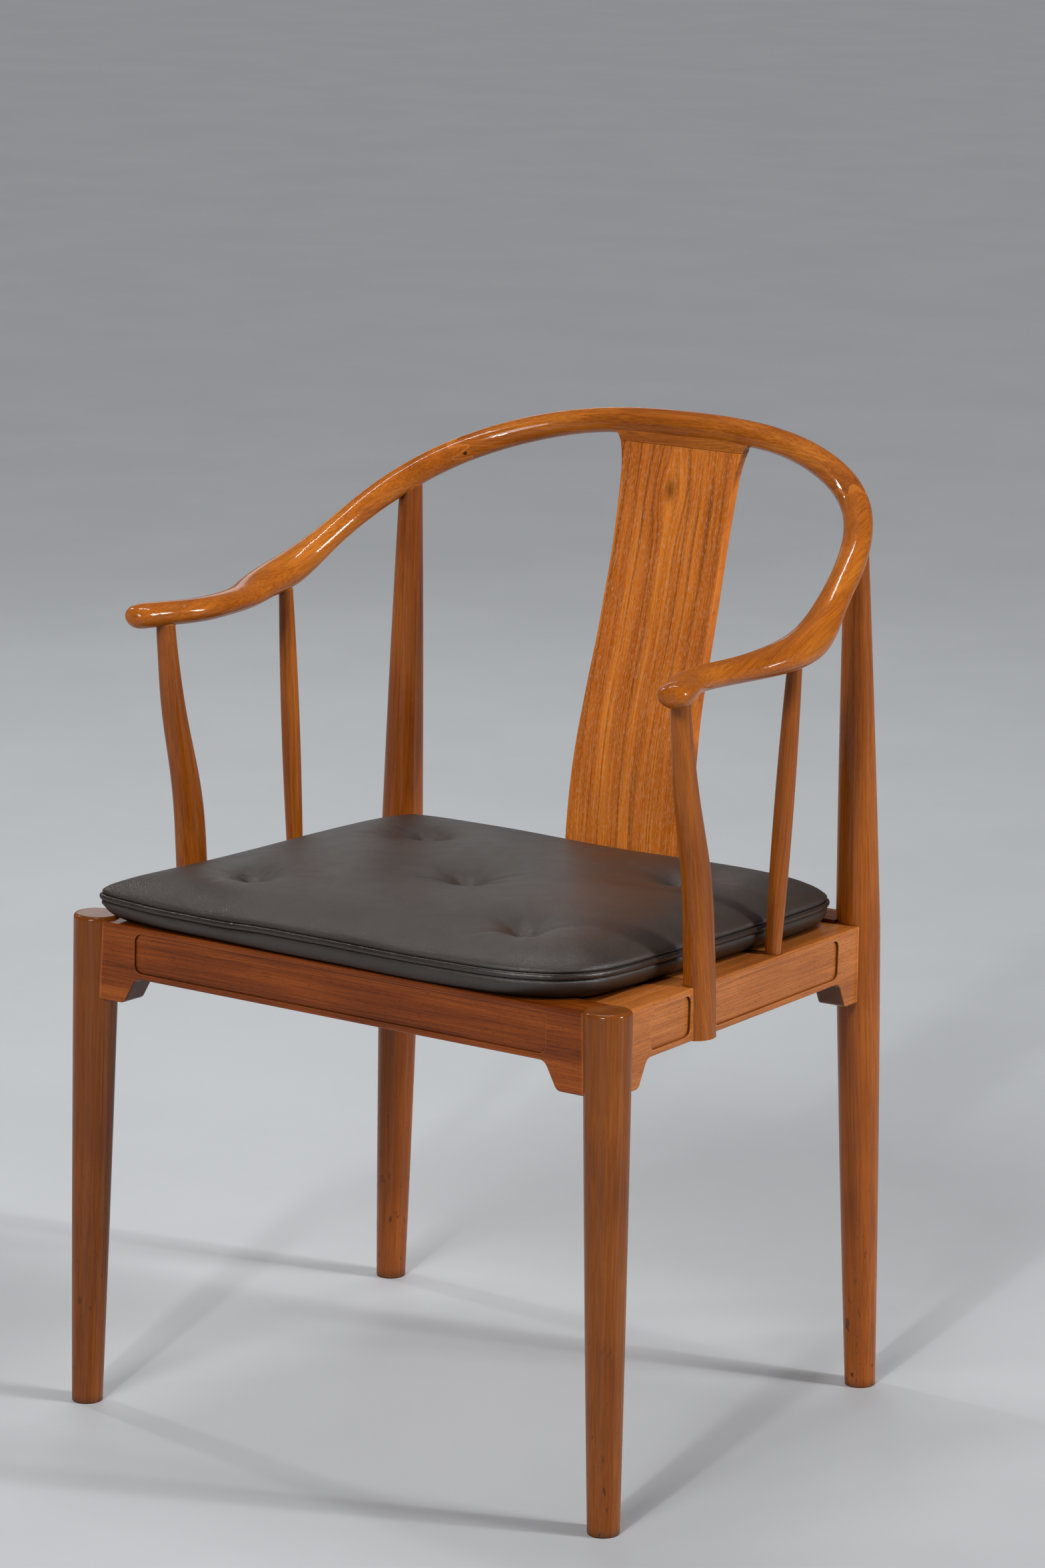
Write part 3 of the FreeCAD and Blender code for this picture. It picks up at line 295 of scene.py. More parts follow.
def wood(name, node, along, shift, tones, bands=1.0, veins=0.0, streaks=0.5, pores=0.3, pale_pores=0.0,
         foot=0.0, ends=0.0, gloss=0.36, depth=1.0, knot=None, peg=False):
    """Lacquered wood. The numbers from bands to ends say how strongly each kind of mark shows.

    A depth below 1 keeps a curved board's lines along its curve."""
    material, tree, shader = new_material(name)
    place = object_place(tree)
    source, heart = knot_push(tree, place, knot) if knot else (place, None)
    if along == "bow":
        turned = stretched(tree, bow_axes(tree, source), (1, 1, 1), shift)
    else:
        turn = tuple(grain_turn(node, along))
        turned = add(tree, "ShaderNodeMapping", Vector=source, Rotation=turn, Location=shift).outputs[0]
    lines = grain_lines(tree, turned, depth)
    band = noise_at(tree, stretched(tree, lines, BAND_SCALE), 2.0, 0.5)
    streak = noise_at(tree, stretched(tree, lines, STREAK_SCALE, STREAK_SHIFT), 3.0, 0.6)
    fibre = noise_at(tree, stretched(tree, lines, FIBRE_SCALE), 3.0, 0.65)
    cloud = noise_at(tree, stretched(tree, turned, CLOUD_SCALE), 3.0, 0.5)
    tone = math_node(tree, "ADD", centred(tree, band, bands), 0.5)
    for part, share in ((cloud, 0.45), (streak, 0.85 * streaks), (fibre, 0.55 * streaks)):
        tone = math_node(tree, "ADD", centred(tree, part, share), tone)
    colour = ramp(tree, tone, [(0.20, tones[0]), (0.50, tones[1]), (0.80, tones[2])], "LINEAR")
    if veins:
        colour = with_veins(tree, colour, lines, veins)
    colour = shaded(tree, 0.75, colour, fade(tree, fibre, (0.32, 0.74), (0.66, 1.14)))
    dash = noise_at(tree, stretched(tree, lines, PORE_SCALE, PORE_SHIFT), 1.0, 0.5)
    pore = fade(tree, dash, (0.30, 0.0), (0.37, 1.0))
    if pores:
        pore_shade = mix(tree, pore, (0.30, 0.30, 0.30), (1.0, 1.0, 1.0))
        colour = mix(tree, pores, colour, shaded(tree, 1.0, colour, pore_shade))
    if pale_pores:
        colour = with_pale_pores(tree, colour, lines, pale_pores)
    if knot:
        colour = mix(tree, times(tree, heart, 0.75), colour, KNOT_HEART)
    if foot:
        colour = with_worn_foot(tree, colour, place, cloud, foot)
    if peg:
        colour = with_peg_hole(tree, colour, place)
    if ends:
        colour = with_end_grain(tree, colour, along, ends)
    # painted shade in the corners, and lighter thin edges: partly wear, partly a painted highlight
    colour = with_corner_shade_and_edge_light(tree, colour, cloud, tuple(min(1.0, 1.5 * c + 0.02) for c in tones[2]))
    plug(tree, shader.inputs["Base Color"], colour)
    plug(tree, shader.inputs["Roughness"], times_plus(tree, fibre, 0.10, times_plus(tree, cloud, 0.16, gloss)))
    relief = times_plus(tree, pore, 0.5, times_plus(tree, fibre, 0.7, times(tree, streak, 0.9)))
    grain = add(tree, "ShaderNodeBump", Height=relief, Strength=0.16, Distance=0.0005)
    plug(tree, shader.inputs["Normal"], grain.outputs[0])
    # the lacquer lies in a thin, slightly uneven skin over it
    skin = noise_at(tree, stretched(tree, turned, SKIN_SCALE), 3.0, 0.6)
    skin_relief = times_plus(tree, pore, 0.25, times_plus(tree, streak, 0.35, skin))
    coat = add(tree, "ShaderNodeBump", Height=skin_relief, Strength=0.10, Distance=0.0006)
    plug(tree, shader.inputs["Coat Normal"], coat.outputs[0])
    plug(tree, shader.inputs["Coat Weight"], 0.50)
    plug(tree, shader.inputs["Coat Roughness"], 0.07)
    plug(tree, shader.inputs["Specular IOR Level"], 0.05)
    return material


TONES = ((0.150, 0.030, 0.0018), (0.300, 0.073, 0.0052), (0.460, 0.138, 0.0150))


def toned(share, green=1.0, blue=1.0):
    """Dark, middle and light tones of the lacquered wood."""
    return [(share * r, share * green * g, share * blue * b) for r, g, b in TONES]


LEG = {"bands": 0.45, "streaks": 0.14, "pores": 0.2, "foot": 0.9}
ARM = {"bands": 0.5, "streaks": 0.22, "pores": 0.3, "gloss": 0.30, "peg": True}
ARM_POST = {"bands": 0.45, "streaks": 0.2, "pores": 0.3}
SPINDLE = {"bands": 0.4, "streaks": 0.2, "pores": 0.3}
HIDDEN = {"bands": 1.0, "streaks": 0.5}
WOODS = {
    "front_right_leg": ("Z", toned(0.68, 1.04), LEG),
    "front_left_leg": ("Z", toned(0.66, 1.02), LEG),
    "rear_right_post": ("Z", toned(1.00, 1.02), {**LEG, "bands": 0.5, "streaks": 0.18}),
    "rear_left_post": ("Z", toned(0.86, 0.98), {**LEG, "streaks": 0.18}),
    "front_rail": ("X", toned(0.74, 0.84, 0.8),
                   {"bands": 1.0, "veins": 0.5, "streaks": 0.42, "pores": 0.6, "ends": 0.8}),
    "back_rail": ("X", toned(0.80), {"bands": 0.9, "streaks": 0.5, "pores": 0.3, "ends": 0.8}),
    # The right side rail's tone is partly its own lighter wood; its paler, bluer cast is a painted sheen of the
    # lamp to its right.
    "right_side_rail": ("Y", toned(1.45, 1.22, 3.0),
                        {"bands": 0.5, "streaks": 0.18, "pores": 0.7, "ends": 0.8}),
    "left_side_rail": ("Y", toned(1.25, 1.10, 1.5),
                       {"bands": 0.6, "streaks": 0.25, "pores": 0.6, "ends": 0.8}),
    "seat_board": ("X", toned(0.80), HIDDEN),
    "front_batten": ("X", toned(0.85), HIDDEN),
    "rear_batten": ("X", toned(0.82), HIDDEN),
    "crest_rail": ("bow", toned(1.14, 1.06), {**ARM, "bands": 0.8, "streaks": 0.4, "pores": 0.5}),
    "right_arm": ("Y", toned(1.22, 1.08), ARM),
    "left_arm": ("Y", toned(1.22, 1.08), ARM),
    "back_splat": ("Z", toned(1.70, 1.0, 0.9),
                   {"bands": 0.8, "veins": 0.65, "streaks": 0.42, "pores": 0.3, "pale_pores": 0.36,
                    "depth": 0.06, "knot": KNOT}),
    "right_arm_post": ("Z", toned(0.96, 1.06), ARM_POST),
    "left_arm_post": ("Z", toned(0.86, 1.02), ARM_POST),
    "right_spindle": ("Z", toned(1.02, 1.04), SPINDLE),
    "left_spindle": ("Z", toned(1.05, 1.04), SPINDLE),
}
# Sawn pieces whose edges are eased by hand. The side rails' shortest edges leave no room for it.
SHARP_EDGED = ("front_rail", "back_rail", "back_splat", "seat_board", "front_batten", "rear_batten")
EASED_EDGE, EASED_ABOVE = 0.0011, math.radians(32)
BOARD_STEP = (0.37, 0.23, 0.61)     # how far one piece's board lies from the next one's in the noise
FIRST_BOARD = (0.11, 0.05, 0.0)


def ease_edges(node):
    weld = node.modifiers.new("weld", "WELD")
    weld.merge_threshold = 1e-5
    ease = node.modifiers.new("ease", "BEVEL")
    ease.width = EASED_EDGE
    ease.segments = 3
    ease.limit_method = "ANGLE"
    ease.angle_limit = EASED_ABOVE
    node.modifiers.new("even", "WEIGHTED_NORMAL")


for index, (node_name, (along, tones, manner)) in enumerate(WOODS.items()):
    shift = tuple(step * index + first for step, first in zip(BOARD_STEP, FIRST_BOARD))
    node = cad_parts[node_name]
    finish = wood("wood_" + node_name, node, along, shift, tones, **manner)
    for slot in node.material_slots:
        slot.material = finish
    if node_name in SHARP_EDGED:
        ease_edges(node)


# Leather

# Noise scales, per metre
HIDE_SCALE, CELL_SCALE, HAIR_SCALE, SOFT_SCALE = 14.0, 900.0, 1500.0, 55.0
SEAM_REACH = 0.016
# the colour of the painted shade beside the seams
SEAM_SHADE = (0.004, 0.003, 0.002)


def leather(name, base, gloss, bump_strength):
    material, tree, shader = new_material(name)
    place = object_place(tree)
    cloud = noise_at(tree, place, 5.0, 0.6, HIDE_SCALE)
    grain = add(tree, "ShaderNodeTexVoronoi", {"feature": "DISTANCE_TO_EDGE"}, Vector=place, Scale=CELL_SCALE,
                Randomness=1.0).outputs["Distance"]
    fine = noise_at(tree, place, 3.0, 0.6, HAIR_SCALE)
    soft = noise_at(tree, place, 3.0, 0.55, SOFT_SCALE)
    darker, lighter = tuple(0.82 * c for c in base), tuple(1.15 * c for c in base)
    colour = ramp(tree, cloud, [(0.30, darker), (0.70, lighter)])
    colour = shaded(tree, 0.7, colour, fade(tree, grain, (0.0, 0.80), (0.12, 1.0)))
    # painted shade: darker beside the seams and towards the seat, where the occlusion is high
    seam_shade = fade(tree, cavity(tree, SEAM_REACH), (0.30, 0.85), (0.92, 0.0), interpolation="LINEAR")
    plug(tree, shader.inputs["Base Color"], mix(tree, seam_shade, colour, SEAM_SHADE))
    rough = math_node(tree, "SUBTRACT", times_plus(tree, soft, 0.14, gloss - 0.07), 0.05)
    plug(tree, shader.inputs["Roughness"], times_plus(tree, cloud, 0.10, rough))
    cells = math_node(tree, "MINIMUM", times(tree, grain, 5.0), 1.0)
    small = add(tree, "ShaderNodeBump", Height=times_plus(tree, fine, 0.35, cells), Strength=bump_strength,
                Distance=0.0003)
    broad = add(tree, "ShaderNodeBump", Height=soft, Strength=0.10, Distance=0.003, Normal=small.outputs[0])
    plug(tree, shader.inputs["Normal"], broad.outputs[0])
    plug(tree, shader.inputs["Specular IOR Level"], 0.55)
    return material


# Cushion, drawn in millimetres on the sloping plane of the seat: x to the right, y from front to back, and
# heights above the plane

SLOPE = math.radians(2.099)
SEAT = np.array((0.0, -0.2588, 0.4295))
SEAT_BACK = np.array((0.0, math.cos(SLOPE), -math.sin(SLOPE)))
SEAT_UP = np.array((0.0, math.sin(SLOPE), math.cos(SLOPE)))
MM = 0.001

# The outline at the welt, from the front left corner round to it again
FRONT_EDGE = ((-249.5, 0.0), (-240.0, -5.0), (-210.0, -5.0), (-136.0, -6.0), (-63.0, -9.0), (5.0, -9.5),
              (73.0, -11.0), (136.0, -8.0), (172.0, -3.0), (201.0, 10.0), (215.0, 22.5))
RIGHT_EDGE = ((215.0, 22.5), (228.0, 42.0), (234.6, 75.0), (237.5, 129.0), (239.0, 202.0), (239.8, 267.0),
              (240.3, 307.0), (239.5, 346.0), (237.0, 377.0), (228.5, 399.0))
REAR_EDGE = ((228.5, 399.0), (209.0, 408.0), (170.0, 410.5), (100.0, 409.0), (0.0, 408.0), (-100.0, 409.0),
             (-170.0, 410.5), (-206.0, 408.5), (-224.0, 399.0))
LEFT_EDGE = ((-224.0, 399.0), (-232.5, 380.0), (-236.5, 346.0), (-238.5, 300.0), (-239.0, 250.0),
             (-239.5, 200.0), (-241.0, 140.0), (-243.0, 90.0), (-246.0, 41.0), (-250.0, 10.0), (-249.5, 0.0))
PATH_STEPS = 24                         # from one of these points to the next
ACROSS, ALONG = 104, 90                 # cells of the panel's grid
TUFTS = ((-139.5, 74.0), (143.0, 63.0), (5.0, 180.0), (-124.0, 304.0), (141.5, 299.0))

PANEL_INSET, PANEL_SEAM = 1.8, 24.8     # the top panel's edge: in from the welt's outside, and its height
DOME, SHOULDER = 19.6, 74.0             # how high the panel rises, and over what distance from its edge
DOME_POWER = 0.78
FRONT_LEFT = (-249.0, 0.0)
FLAT_CORNERS = (FRONT_LEFT, (222.0, 22.0), (230.0, 402.0), (-226.0, 402.0))
FLATTER, FLATTER_REACH = 0.12, 45.0     # the share of the dome that is missing there
# The front left corner stands up, the front edge beside it hangs lower, and the border under it leans in more
TIP, TIP_LIFT, TIP_REACH = (-249.0, 2.0), 1.6, 16.0
HANG_X, HANG_HALF, HANG_DROP, HANG_DEPTH = -150.0, 62.0, 2.3, 45.0
EDGE_FALL = 30.0                        # how far in from the seam both are felt
LEAN, LEAN_REACH = 0.85, 40.0

# The groove under the panel, the fold under the welt and the border that leans in to the flat bottom, as
# (distance in from the outline, height)
BORDER = ((3.8, 21.8), (4.4, 19.6), (3.6, 17.3), (2.3, 16.0), (1.9, 15.0), (1.9, 13.6), (2.3, 11.8),
          (3.2, 9.4), (4.8, 6.9), (6.9, 4.4), (9.4, 2.2), (12.0, 0.9), (14.0, 0.35))
LEANING_BELOW, LIFTING_ABOVE = 13.0, 12.0   # where the lean begins, and down to where the corner's lift is full
BOTTOM_INSET, BOTTOM_HEIGHT = 16.0, 0.3

WELT_INSET, WELT_HEIGHT = 2.4, 20.1
WELT_HALF_WIDE, WELT_HALF_HIGH = 2.5, 2.8
WELT_SIDES = 14
WELT_SWAY = 0.18


def smooth_path(points, count):
    """Evenly spaced points on a Catmull-Rom line through the given ones."""
    p = np.array(points, float)
    p = np.vstack((2 * p[0] - p[1], p, 2 * p[-1] - p[-2]))
    dense = []
    for i in range(1, len(p) - 2):
        a, b, c, d = p[i - 1], p[i], p[i + 1], p[i + 2]
        for t in np.linspace(0.0, 1.0, PATH_STEPS, endpoint=False):
            dense.append(0.5 * (2 * b + (c - a) * t + (2 * a - 5 * b + 4 * c - d) * t ** 2
                                + (3 * b - a - 3 * c + d) * t ** 3))
    dense.append(p[-2])
    dense = np.array(dense)
    run = np.concatenate(((0.0,), np.cumsum(np.linalg.norm(np.diff(dense, axis=0), axis=1))))
    at = np.linspace(0.0, run[-1], count + 1)
    return np.stack([np.interp(at, run, dense[:, k]) for k in (0, 1)], 1)


def cushion_loop():
    """The outline at the welt, one corner to the next, and its outward directions."""
    edges = ((FRONT_EDGE, ACROSS), (RIGHT_EDGE, ALONG), (REAR_EDGE, ACROSS), (LEFT_EDGE, ALONG))
    loop = np.vstack([smooth_path(edge, count)[:-1] for edge, count in edges])
    for step in range(2):
        loop = 0.5 * loop + 0.25 * (np.roll(loop, 1, 0) + np.roll(loop, -1, 0))
    run = np.roll(loop, -2, 0) - np.roll(loop, 2, 0)
    out = np.stack((run[:, 1], -run[:, 0]), 1)
    for step in range(4):
        out = out / np.linalg.norm(out, axis=1)[:, None]
        out = out + np.roll(out, 1, 0) + np.roll(out, -1, 0)
    return loop, out / np.linalg.norm(out, axis=1)[:, None]


def patch(loop):
    """A grid that fills the outline, corner to corner."""
    front = loop[:ACROSS + 1]
    right = loop[ACROSS:ACROSS + ALONG + 1]
    rear = loop[ACROSS + ALONG:2 * ACROSS + ALONG + 1][::-1]
    left = np.vstack((loop[2 * ACROSS + ALONG:], loop[:1]))[::-1]
    u = np.linspace(0.0, 1.0, ACROSS + 1)[None, :, None]
    v = np.linspace(0.0, 1.0, ALONG + 1)[:, None, None]
    flat = (1 - v) * front[None] + v * rear[None] + (1 - u) * left[:, None] + u * right[:, None]
    return flat - ((1 - u) * (1 - v) * front[0] + u * (1 - v) * front[-1]
                   + (1 - u) * v * rear[0] + u * v * rear[-1])


def grid_faces(rows, columns, base=0, downward=False):
    faces = []
    for r in range(rows - 1):
        for c in range(columns - 1):
            near_left = base + r * columns + c
            near_right, far_right, far_left = near_left + 1, near_left + columns + 1, near_left + columns
            if downward:
                faces.append((near_left, far_left, far_right, near_right))
            else:
                faces.append((near_left, near_right, far_right, far_left))
    return faces


def ring_faces(ring, following):
    count = len(ring)
    return [(ring[k], following[k], following[(k + 1) % count], ring[(k + 1) % count]) for k in range(count)]


def distance(points, centre):
    return np.hypot(points[..., 0] - centre[0], points[..., 1] - centre[1])


def corner_lift(points):
    """How far the front left corner stands up, and the edge beside it hangs lower."""
    tip = TIP_LIFT * np.exp(-(distance(points, TIP) / TIP_REACH) ** 2)
    beside = np.exp(-((points[..., 0] - HANG_X) / HANG_HALF) ** 4)
    return tip - HANG_DROP * (beside * np.clip((HANG_DEPTH - points[..., 1]) / HANG_DEPTH, 0.0, 1.0))


def edge_distance(points, loop):
    gap = np.full(points.shape[:2], 1e9)
    for a, b in zip(loop, np.roll(loop, -1, 0)):
        share = np.clip(((points - a) @ (b - a)) / ((b - a) @ (b - a)), 0.0, 1.0)
        gap = np.minimum(gap, np.linalg.norm(points - a - share[..., None] * (b - a), axis=-1))
    return gap


def to_world(points, height):
    flat = np.stack((points[..., 0], 0 * points[..., 0], 0 * points[..., 0]), -1)
    place = flat + points[..., 1:2] * SEAT_BACK + np.asarray(height)[..., None] * SEAT_UP
    return SEAT + MM * place


# The cloth simulation of the top panel

HELD_RADIUS, HELD_FADE = 11.0, 5.0      # what each tuft holds, and the width of the band that it holds less
PRESSURE = 4.0
SIMULATED_FRAMES = 20
LONGEST_MOVE = 5.0
SMOOTHING_STEPS = 6                     # over the cloth's moves, against single creased cells


def simulate(sheet):
    """Lets the air pressure act on the held sheet. Returns its vertices."""
    cloth = sheet.modifiers.new("cloth", "CLOTH")
    settings = cloth.settings
    settings.quality = 6
    settings.mass = 0.25
    settings.tension_stiffness = 14.0
    settings.compression_stiffness = 14.0
    settings.shear_stiffness = 4.0
    settings.bending_stiffness = 0.4
    settings.vertex_group_mass = "held"
    settings.use_pressure = True
    settings.uniform_pressure_force = PRESSURE
    settings.effector_weights.gravity = 0.0
    cloth.collision_settings.use_collision = False
    cloth.point_cache.frame_start = 1
    cloth.point_cache.frame_end = SIMULATED_FRAMES
    scene = bpy.context.scene
    for step in range(1, SIMULATED_FRAMES + 1):
        scene.frame_set(step)
    shaped = sheet.evaluated_get(bpy.context.evaluated_depsgraph_get())
    result = np.array([tuple(vertex.co) for vertex in shaped.data.vertices])
    scene.frame_set(1)
    return result


def inflate(points, height):
    """The panel as cloth under air pressure, held at the seam and at the tufts. Returns the new places."""
    rows, columns = points.shape[:2]
    places = np.concatenate((points, height[..., None]), -1).reshape(-1, 3) * MM
    mesh = bpy.data.meshes.new("sheet")
    mesh.from_pydata([tuple(place) for place in places], [], grid_faces(rows, columns))
    sheet = bpy.data.objects.new("sheet", mesh)
    bpy.context.collection.objects.link(sheet)
    held = sheet.vertex_groups.new(name="held")
    for index in range(rows * columns):
        r, c = divmod(index, columns)
        weight = 1.0 if r in (0, rows - 1) or c in (0, columns - 1) else 0.0
        for tuft in TUFTS:
            hold = (HELD_RADIUS - distance(points[r, c], tuft)) / HELD_FADE
            weight = max(weight, min(1.0, max(0.0, hold)))
        if weight > 0.0:
            held.add([index], weight, "REPLACE")
    start = places.reshape(rows, columns, 3) / MM
    move = simulate(sheet).reshape(rows, columns, 3) / MM - start
    bpy.data.objects.remove(sheet)
    size = np.linalg.norm(move, axis=-1, keepdims=True)
    move = move * np.minimum(1.0, LONGEST_MOVE / np.maximum(size, 1e-6))
    for step in range(SMOOTHING_STEPS):
        around = move[:-2, 1:-1] + move[2:, 1:-1] + move[1:-1, :-2] + move[1:-1, 2:]
        move[1:-1, 1:-1] = 0.5 * move[1:-1, 1:-1] + 0.125 * around
    return start + move


# Forms pressed into the panel, as heights and lengths in millimetres

PIT_DEEP, PIT_WIDE = 8.5, 11.5          # at each tuft
HOLLOW_DEEP, HOLLOW_WIDE = 6.0, 34.0    # round it
FOLDS = 13                              # round each tuft
FOLD_SHORTEST, FOLD_VARIES = 26.0, 16.0
FOLD_STRETCH, FOLD_BEARING = 0.7, 0.55  # how much longer the folds are to both sides, and in what direction
FOLD_START = 7.0                        # from the tuft's middle to where a fold is at its deepest
FOLD_DEEP, FOLD_UNEVEN = 1.25, 0.55
FOLD_WIDE, FOLD_SPLAY = 1.5, 0.05
FOLD_BEND = 0.0022
RIDGE_SHARE, RIDGE_OUT = 0.45, 2.1      # its height as a share of the fold's depth, its place in fold widths
GATHERS = (FRONT_LEFT, (222.0, 22.0), (232.0, 402.0), (-228.0, 402.0))
GATHER_HIGH, GATHER_REACH, GATHER_START = 0.8, 17.0, 3.0
PLEATS = 17.0                           # round the full circle
SEAM_WAVE_HIGH, SEAM_WAVE_REACH, SEAM_WAVE_START = 0.5, 16.0, 4.0
SWELL_HIGH, SWELL_START = 0.7, 40.0


def tuft_form(points):
    """How far the five tufts pull the leather down: a small pit in a wide hollow."""
    drop = np.zeros(points.shape[:2])
    for tuft in TUFTS:
        far = distance(points, tuft)
        drop += PIT_DEEP * np.exp(-(far / PIT_WIDE) ** 1.5) + HOLLOW_DEEP * np.exp(-(far / HOLLOW_WIDE) ** 1.5)
    return drop


def crease_form(points):
    """Folds that run out from the tufts, longest to both sides, each with a low ridge on either hand."""
    drop = np.zeros(points.shape[:2])
    for k, (x, y) in enumerate(TUFTS):
        dx, dy = points[..., 0] - x, points[..., 1] - y
        for n in range(FOLDS):
            angle = 2 * math.pi * (n + 0.5 * math.sin(2.7 * n + 1.9 * k)) / FOLDS + 0.4 * k
            reach = FOLD_SHORTEST + FOLD_VARIES * abs(math.sin(1.3 * n + k))
            reach *= 1.0 + FOLD_STRETCH * abs(math.cos(angle - FOLD_BEARING))
            bend = FOLD_BEND * math.sin(1.9 * n + 3.0 * k)
            deep = FOLD_DEEP + FOLD_UNEVEN * math.sin(3.0 * n + k)
            ahead = dx * math.cos(angle) + dy * math.sin(angle)
            aside = -dx * math.sin(angle) + dy * math.cos(angle) + bend * ahead ** 2
            wide = FOLD_WIDE + FOLD_SPLAY * np.maximum(ahead, 0.0)
            along = np.clip(ahead / FOLD_START, 0.0, 1.0) * np.clip(1.0 - ahead / reach, 0.0, 1.0)
            valley = np.exp(-(aside / wide) ** 2)
            ridges = RIDGE_SHARE * np.exp(-((np.abs(aside) - RIDGE_OUT * wide) / wide) ** 2)
            drop += deep * along * (valley - ridges)
    return drop


def gather_form(points, gap):
    """Small gathers at the corners, shallow waves beside the seam and a slow swell over the whole panel."""
    x, y = points[..., 0], points[..., 1]
    near = np.zeros(points.shape[:2])
    for k, corner in enumerate(GATHERS):
        bearing = np.arctan2(y - corner[1], x - corner[0])
        pleats = np.sin(PLEATS * bearing + 2.0 * np.sin(3.0 * bearing + k))
        near += GATHER_HIGH * np.exp(-(distance(points, corner) / GATHER_REACH) ** 2) * pleats
    seam = np.exp(-(gap / SEAM_WAVE_REACH) ** 2) * np.clip(gap / SEAM_WAVE_START, 0.0, 1.0)
    wave = np.sin(x * 0.061 + 1.7 * np.sin(y * 0.013)) * np.sin(y * 0.047 + 1.1 * np.sin(x * 0.021) + 0.6)
    swell = np.sin(x * 0.027 + 0.8) * np.sin(y * 0.024 + 2.1) * np.clip(gap / SWELL_START, 0.0, 1.0)
    gathers = near * np.clip(gap / GATHER_START, 0.0, 1.0)
    return gathers + SEAM_WAVE_HIGH * seam * wave + SWELL_HIGH * swell


def panel_sheet(edge):
    """The top panel as rows of places: domed, blown up, tufted, folded and gathered."""
    plan = patch(edge)
    gap = edge_distance(plan, edge)
    rise = 1.0 - (1.0 - np.clip(gap / SHOULDER, 0.0, 1.0)) ** 3
    corner = np.zeros(gap.shape)
    for place in FLAT_CORNERS:
        corner = np.maximum(corner, np.exp(-(distance(plan, place) / FLATTER_REACH) ** 2))
    height = PANEL_SEAM + DOME * rise ** DOME_POWER * (1.0 - FLATTER * corner)
    sheet = np.concatenate((plan, height[..., None]), -1)
    sheet = inflate(plan, height)
    sheet[..., 2] += gather_form(plan, gap) - tuft_form(plan) - crease_form(plan)
    sheet[..., 2] += corner_lift(plan) * np.exp(-(gap / EDGE_FALL) ** 2)
    return sheet


def smooth_piece(name, vertices, faces, finish):
    """A soft piece with even normals and one subdivision."""
    mesh = bpy.data.meshes.new(name)
    mesh.from_pydata([tuple(vertex) for vertex in vertices], [], faces)
    mesh.materials.append(finish)
    build = bmesh.new()
    build.from_mesh(mesh)
    bmesh.ops.recalc_face_normals(build, faces=build.faces)
    build.to_mesh(mesh)
    build.free()
    for face in mesh.polygons:
        face.use_smooth = True
    piece = bpy.data.objects.new(name, mesh)
    bpy.context.collection.objects.link(piece)
    piece.modifiers.new("smooth", "SUBSURF").render_levels = 1
    return piece


def build_cushion(loop, out):
    """One closed skin: the panel, rings down the border, and the flat bottom."""
    sheet = panel_sheet(loop - PANEL_INSET * out)
    rows, columns = sheet.shape[:2]
    vertices = [to_world(sheet[..., :2], sheet[..., 2]).reshape(-1, 3)]
    faces = grid_faces(rows, columns)
    rim = list(range(columns)) + [r * columns + columns - 1 for r in range(1, rows)]
    rim += [(rows - 1) * columns + c for c in range(columns - 2, -1, -1)]
    rim += [r * columns for r in range(rows - 2, 0, -1)]
    lift = corner_lift(loop)
    lean = 1.0 + LEAN * np.exp(-(distance(loop, FRONT_LEFT) / LEAN_REACH) ** 2)
    ring = rim
    count = rows * columns
    for inset, high in BORDER:
        inward = inset * (lean if high < LEANING_BELOW else 1.0) * np.ones(len(loop))
        height = high + lift * min(1.0, high / LIFTING_ABOVE)
        vertices.append(to_world(loop - inward[:, None] * out, height))
        following = list(range(count, count + len(loop)))
        faces += ring_faces(ring, following)
        ring = following
        count += len(loop)
    under = patch(loop - (BOTTOM_INSET * lean)[:, None] * out)
    vertices.append(to_world(under, np.full(under.shape[:2], BOTTOM_HEIGHT)).reshape(-1, 3))
    faces += grid_faces(rows, columns, count, downward=True)
    faces += ring_faces(ring, [count + k for k in rim])

    finish = leather("cushion_leather", (0.034, 0.024, 0.019), 0.38, 0.32)
    body = smooth_piece("cushion_body", np.vstack(vertices), faces, finish)
    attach(body, "cushion")
    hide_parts("seat_cushion")


def build_welt(loop, out):
    """The corded welt round the top panel: a closed tube, a little uneven as sewn leather is."""
    centre = loop - WELT_INSET * out
    lift = corner_lift(loop)
    vertices = []
    faces = []
    for k in range(len(loop)):
        sway = WELT_SWAY * noise.noise(Vector((centre[k][0] * 0.03, centre[k][1] * 0.03, 2.0)))
        for s in range(WELT_SIDES):
            angle = 2 * math.pi * s / WELT_SIDES
            aside = (WELT_HALF_WIDE + sway) * math.cos(angle)
            high = WELT_HEIGHT + lift[k] + sway + WELT_HALF_HIGH * math.sin(angle)
            vertices.append(to_world(centre[k] + aside * out[k], high))
        ring = [k * WELT_SIDES + s for s in range(WELT_SIDES)]
        following = [(k + 1) % len(loop) * WELT_SIDES + s for s in range(WELT_SIDES)]
        faces += ring_faces(following, ring)

    finish = leather("welt_leather", (0.028, 0.020, 0.016), 0.24, 0.25)
    welt = smooth_piece("cushion_welt", vertices, faces, finish)
    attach(welt, "cushion")
    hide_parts("cushion_piping")


cushion_outline, cushion_outward = cushion_loop()
build_cushion(cushion_outline, cushion_outward)
build_welt(cushion_outline, cushion_outward)


# Camera at the photograph's place, from a fit to the chair's feet, rails and posts

CAMERA_PLACE = (2.403845, -3.465540, 1.517039)
YAW, PITCH, ROLL = (math.radians(v) for v in (34.6654, 13.1387, 0.3383))
LENS, SENSOR_HEIGHT = 116.977, 36.0
LENS_SHIFT = (-0.001014, 0.000066)


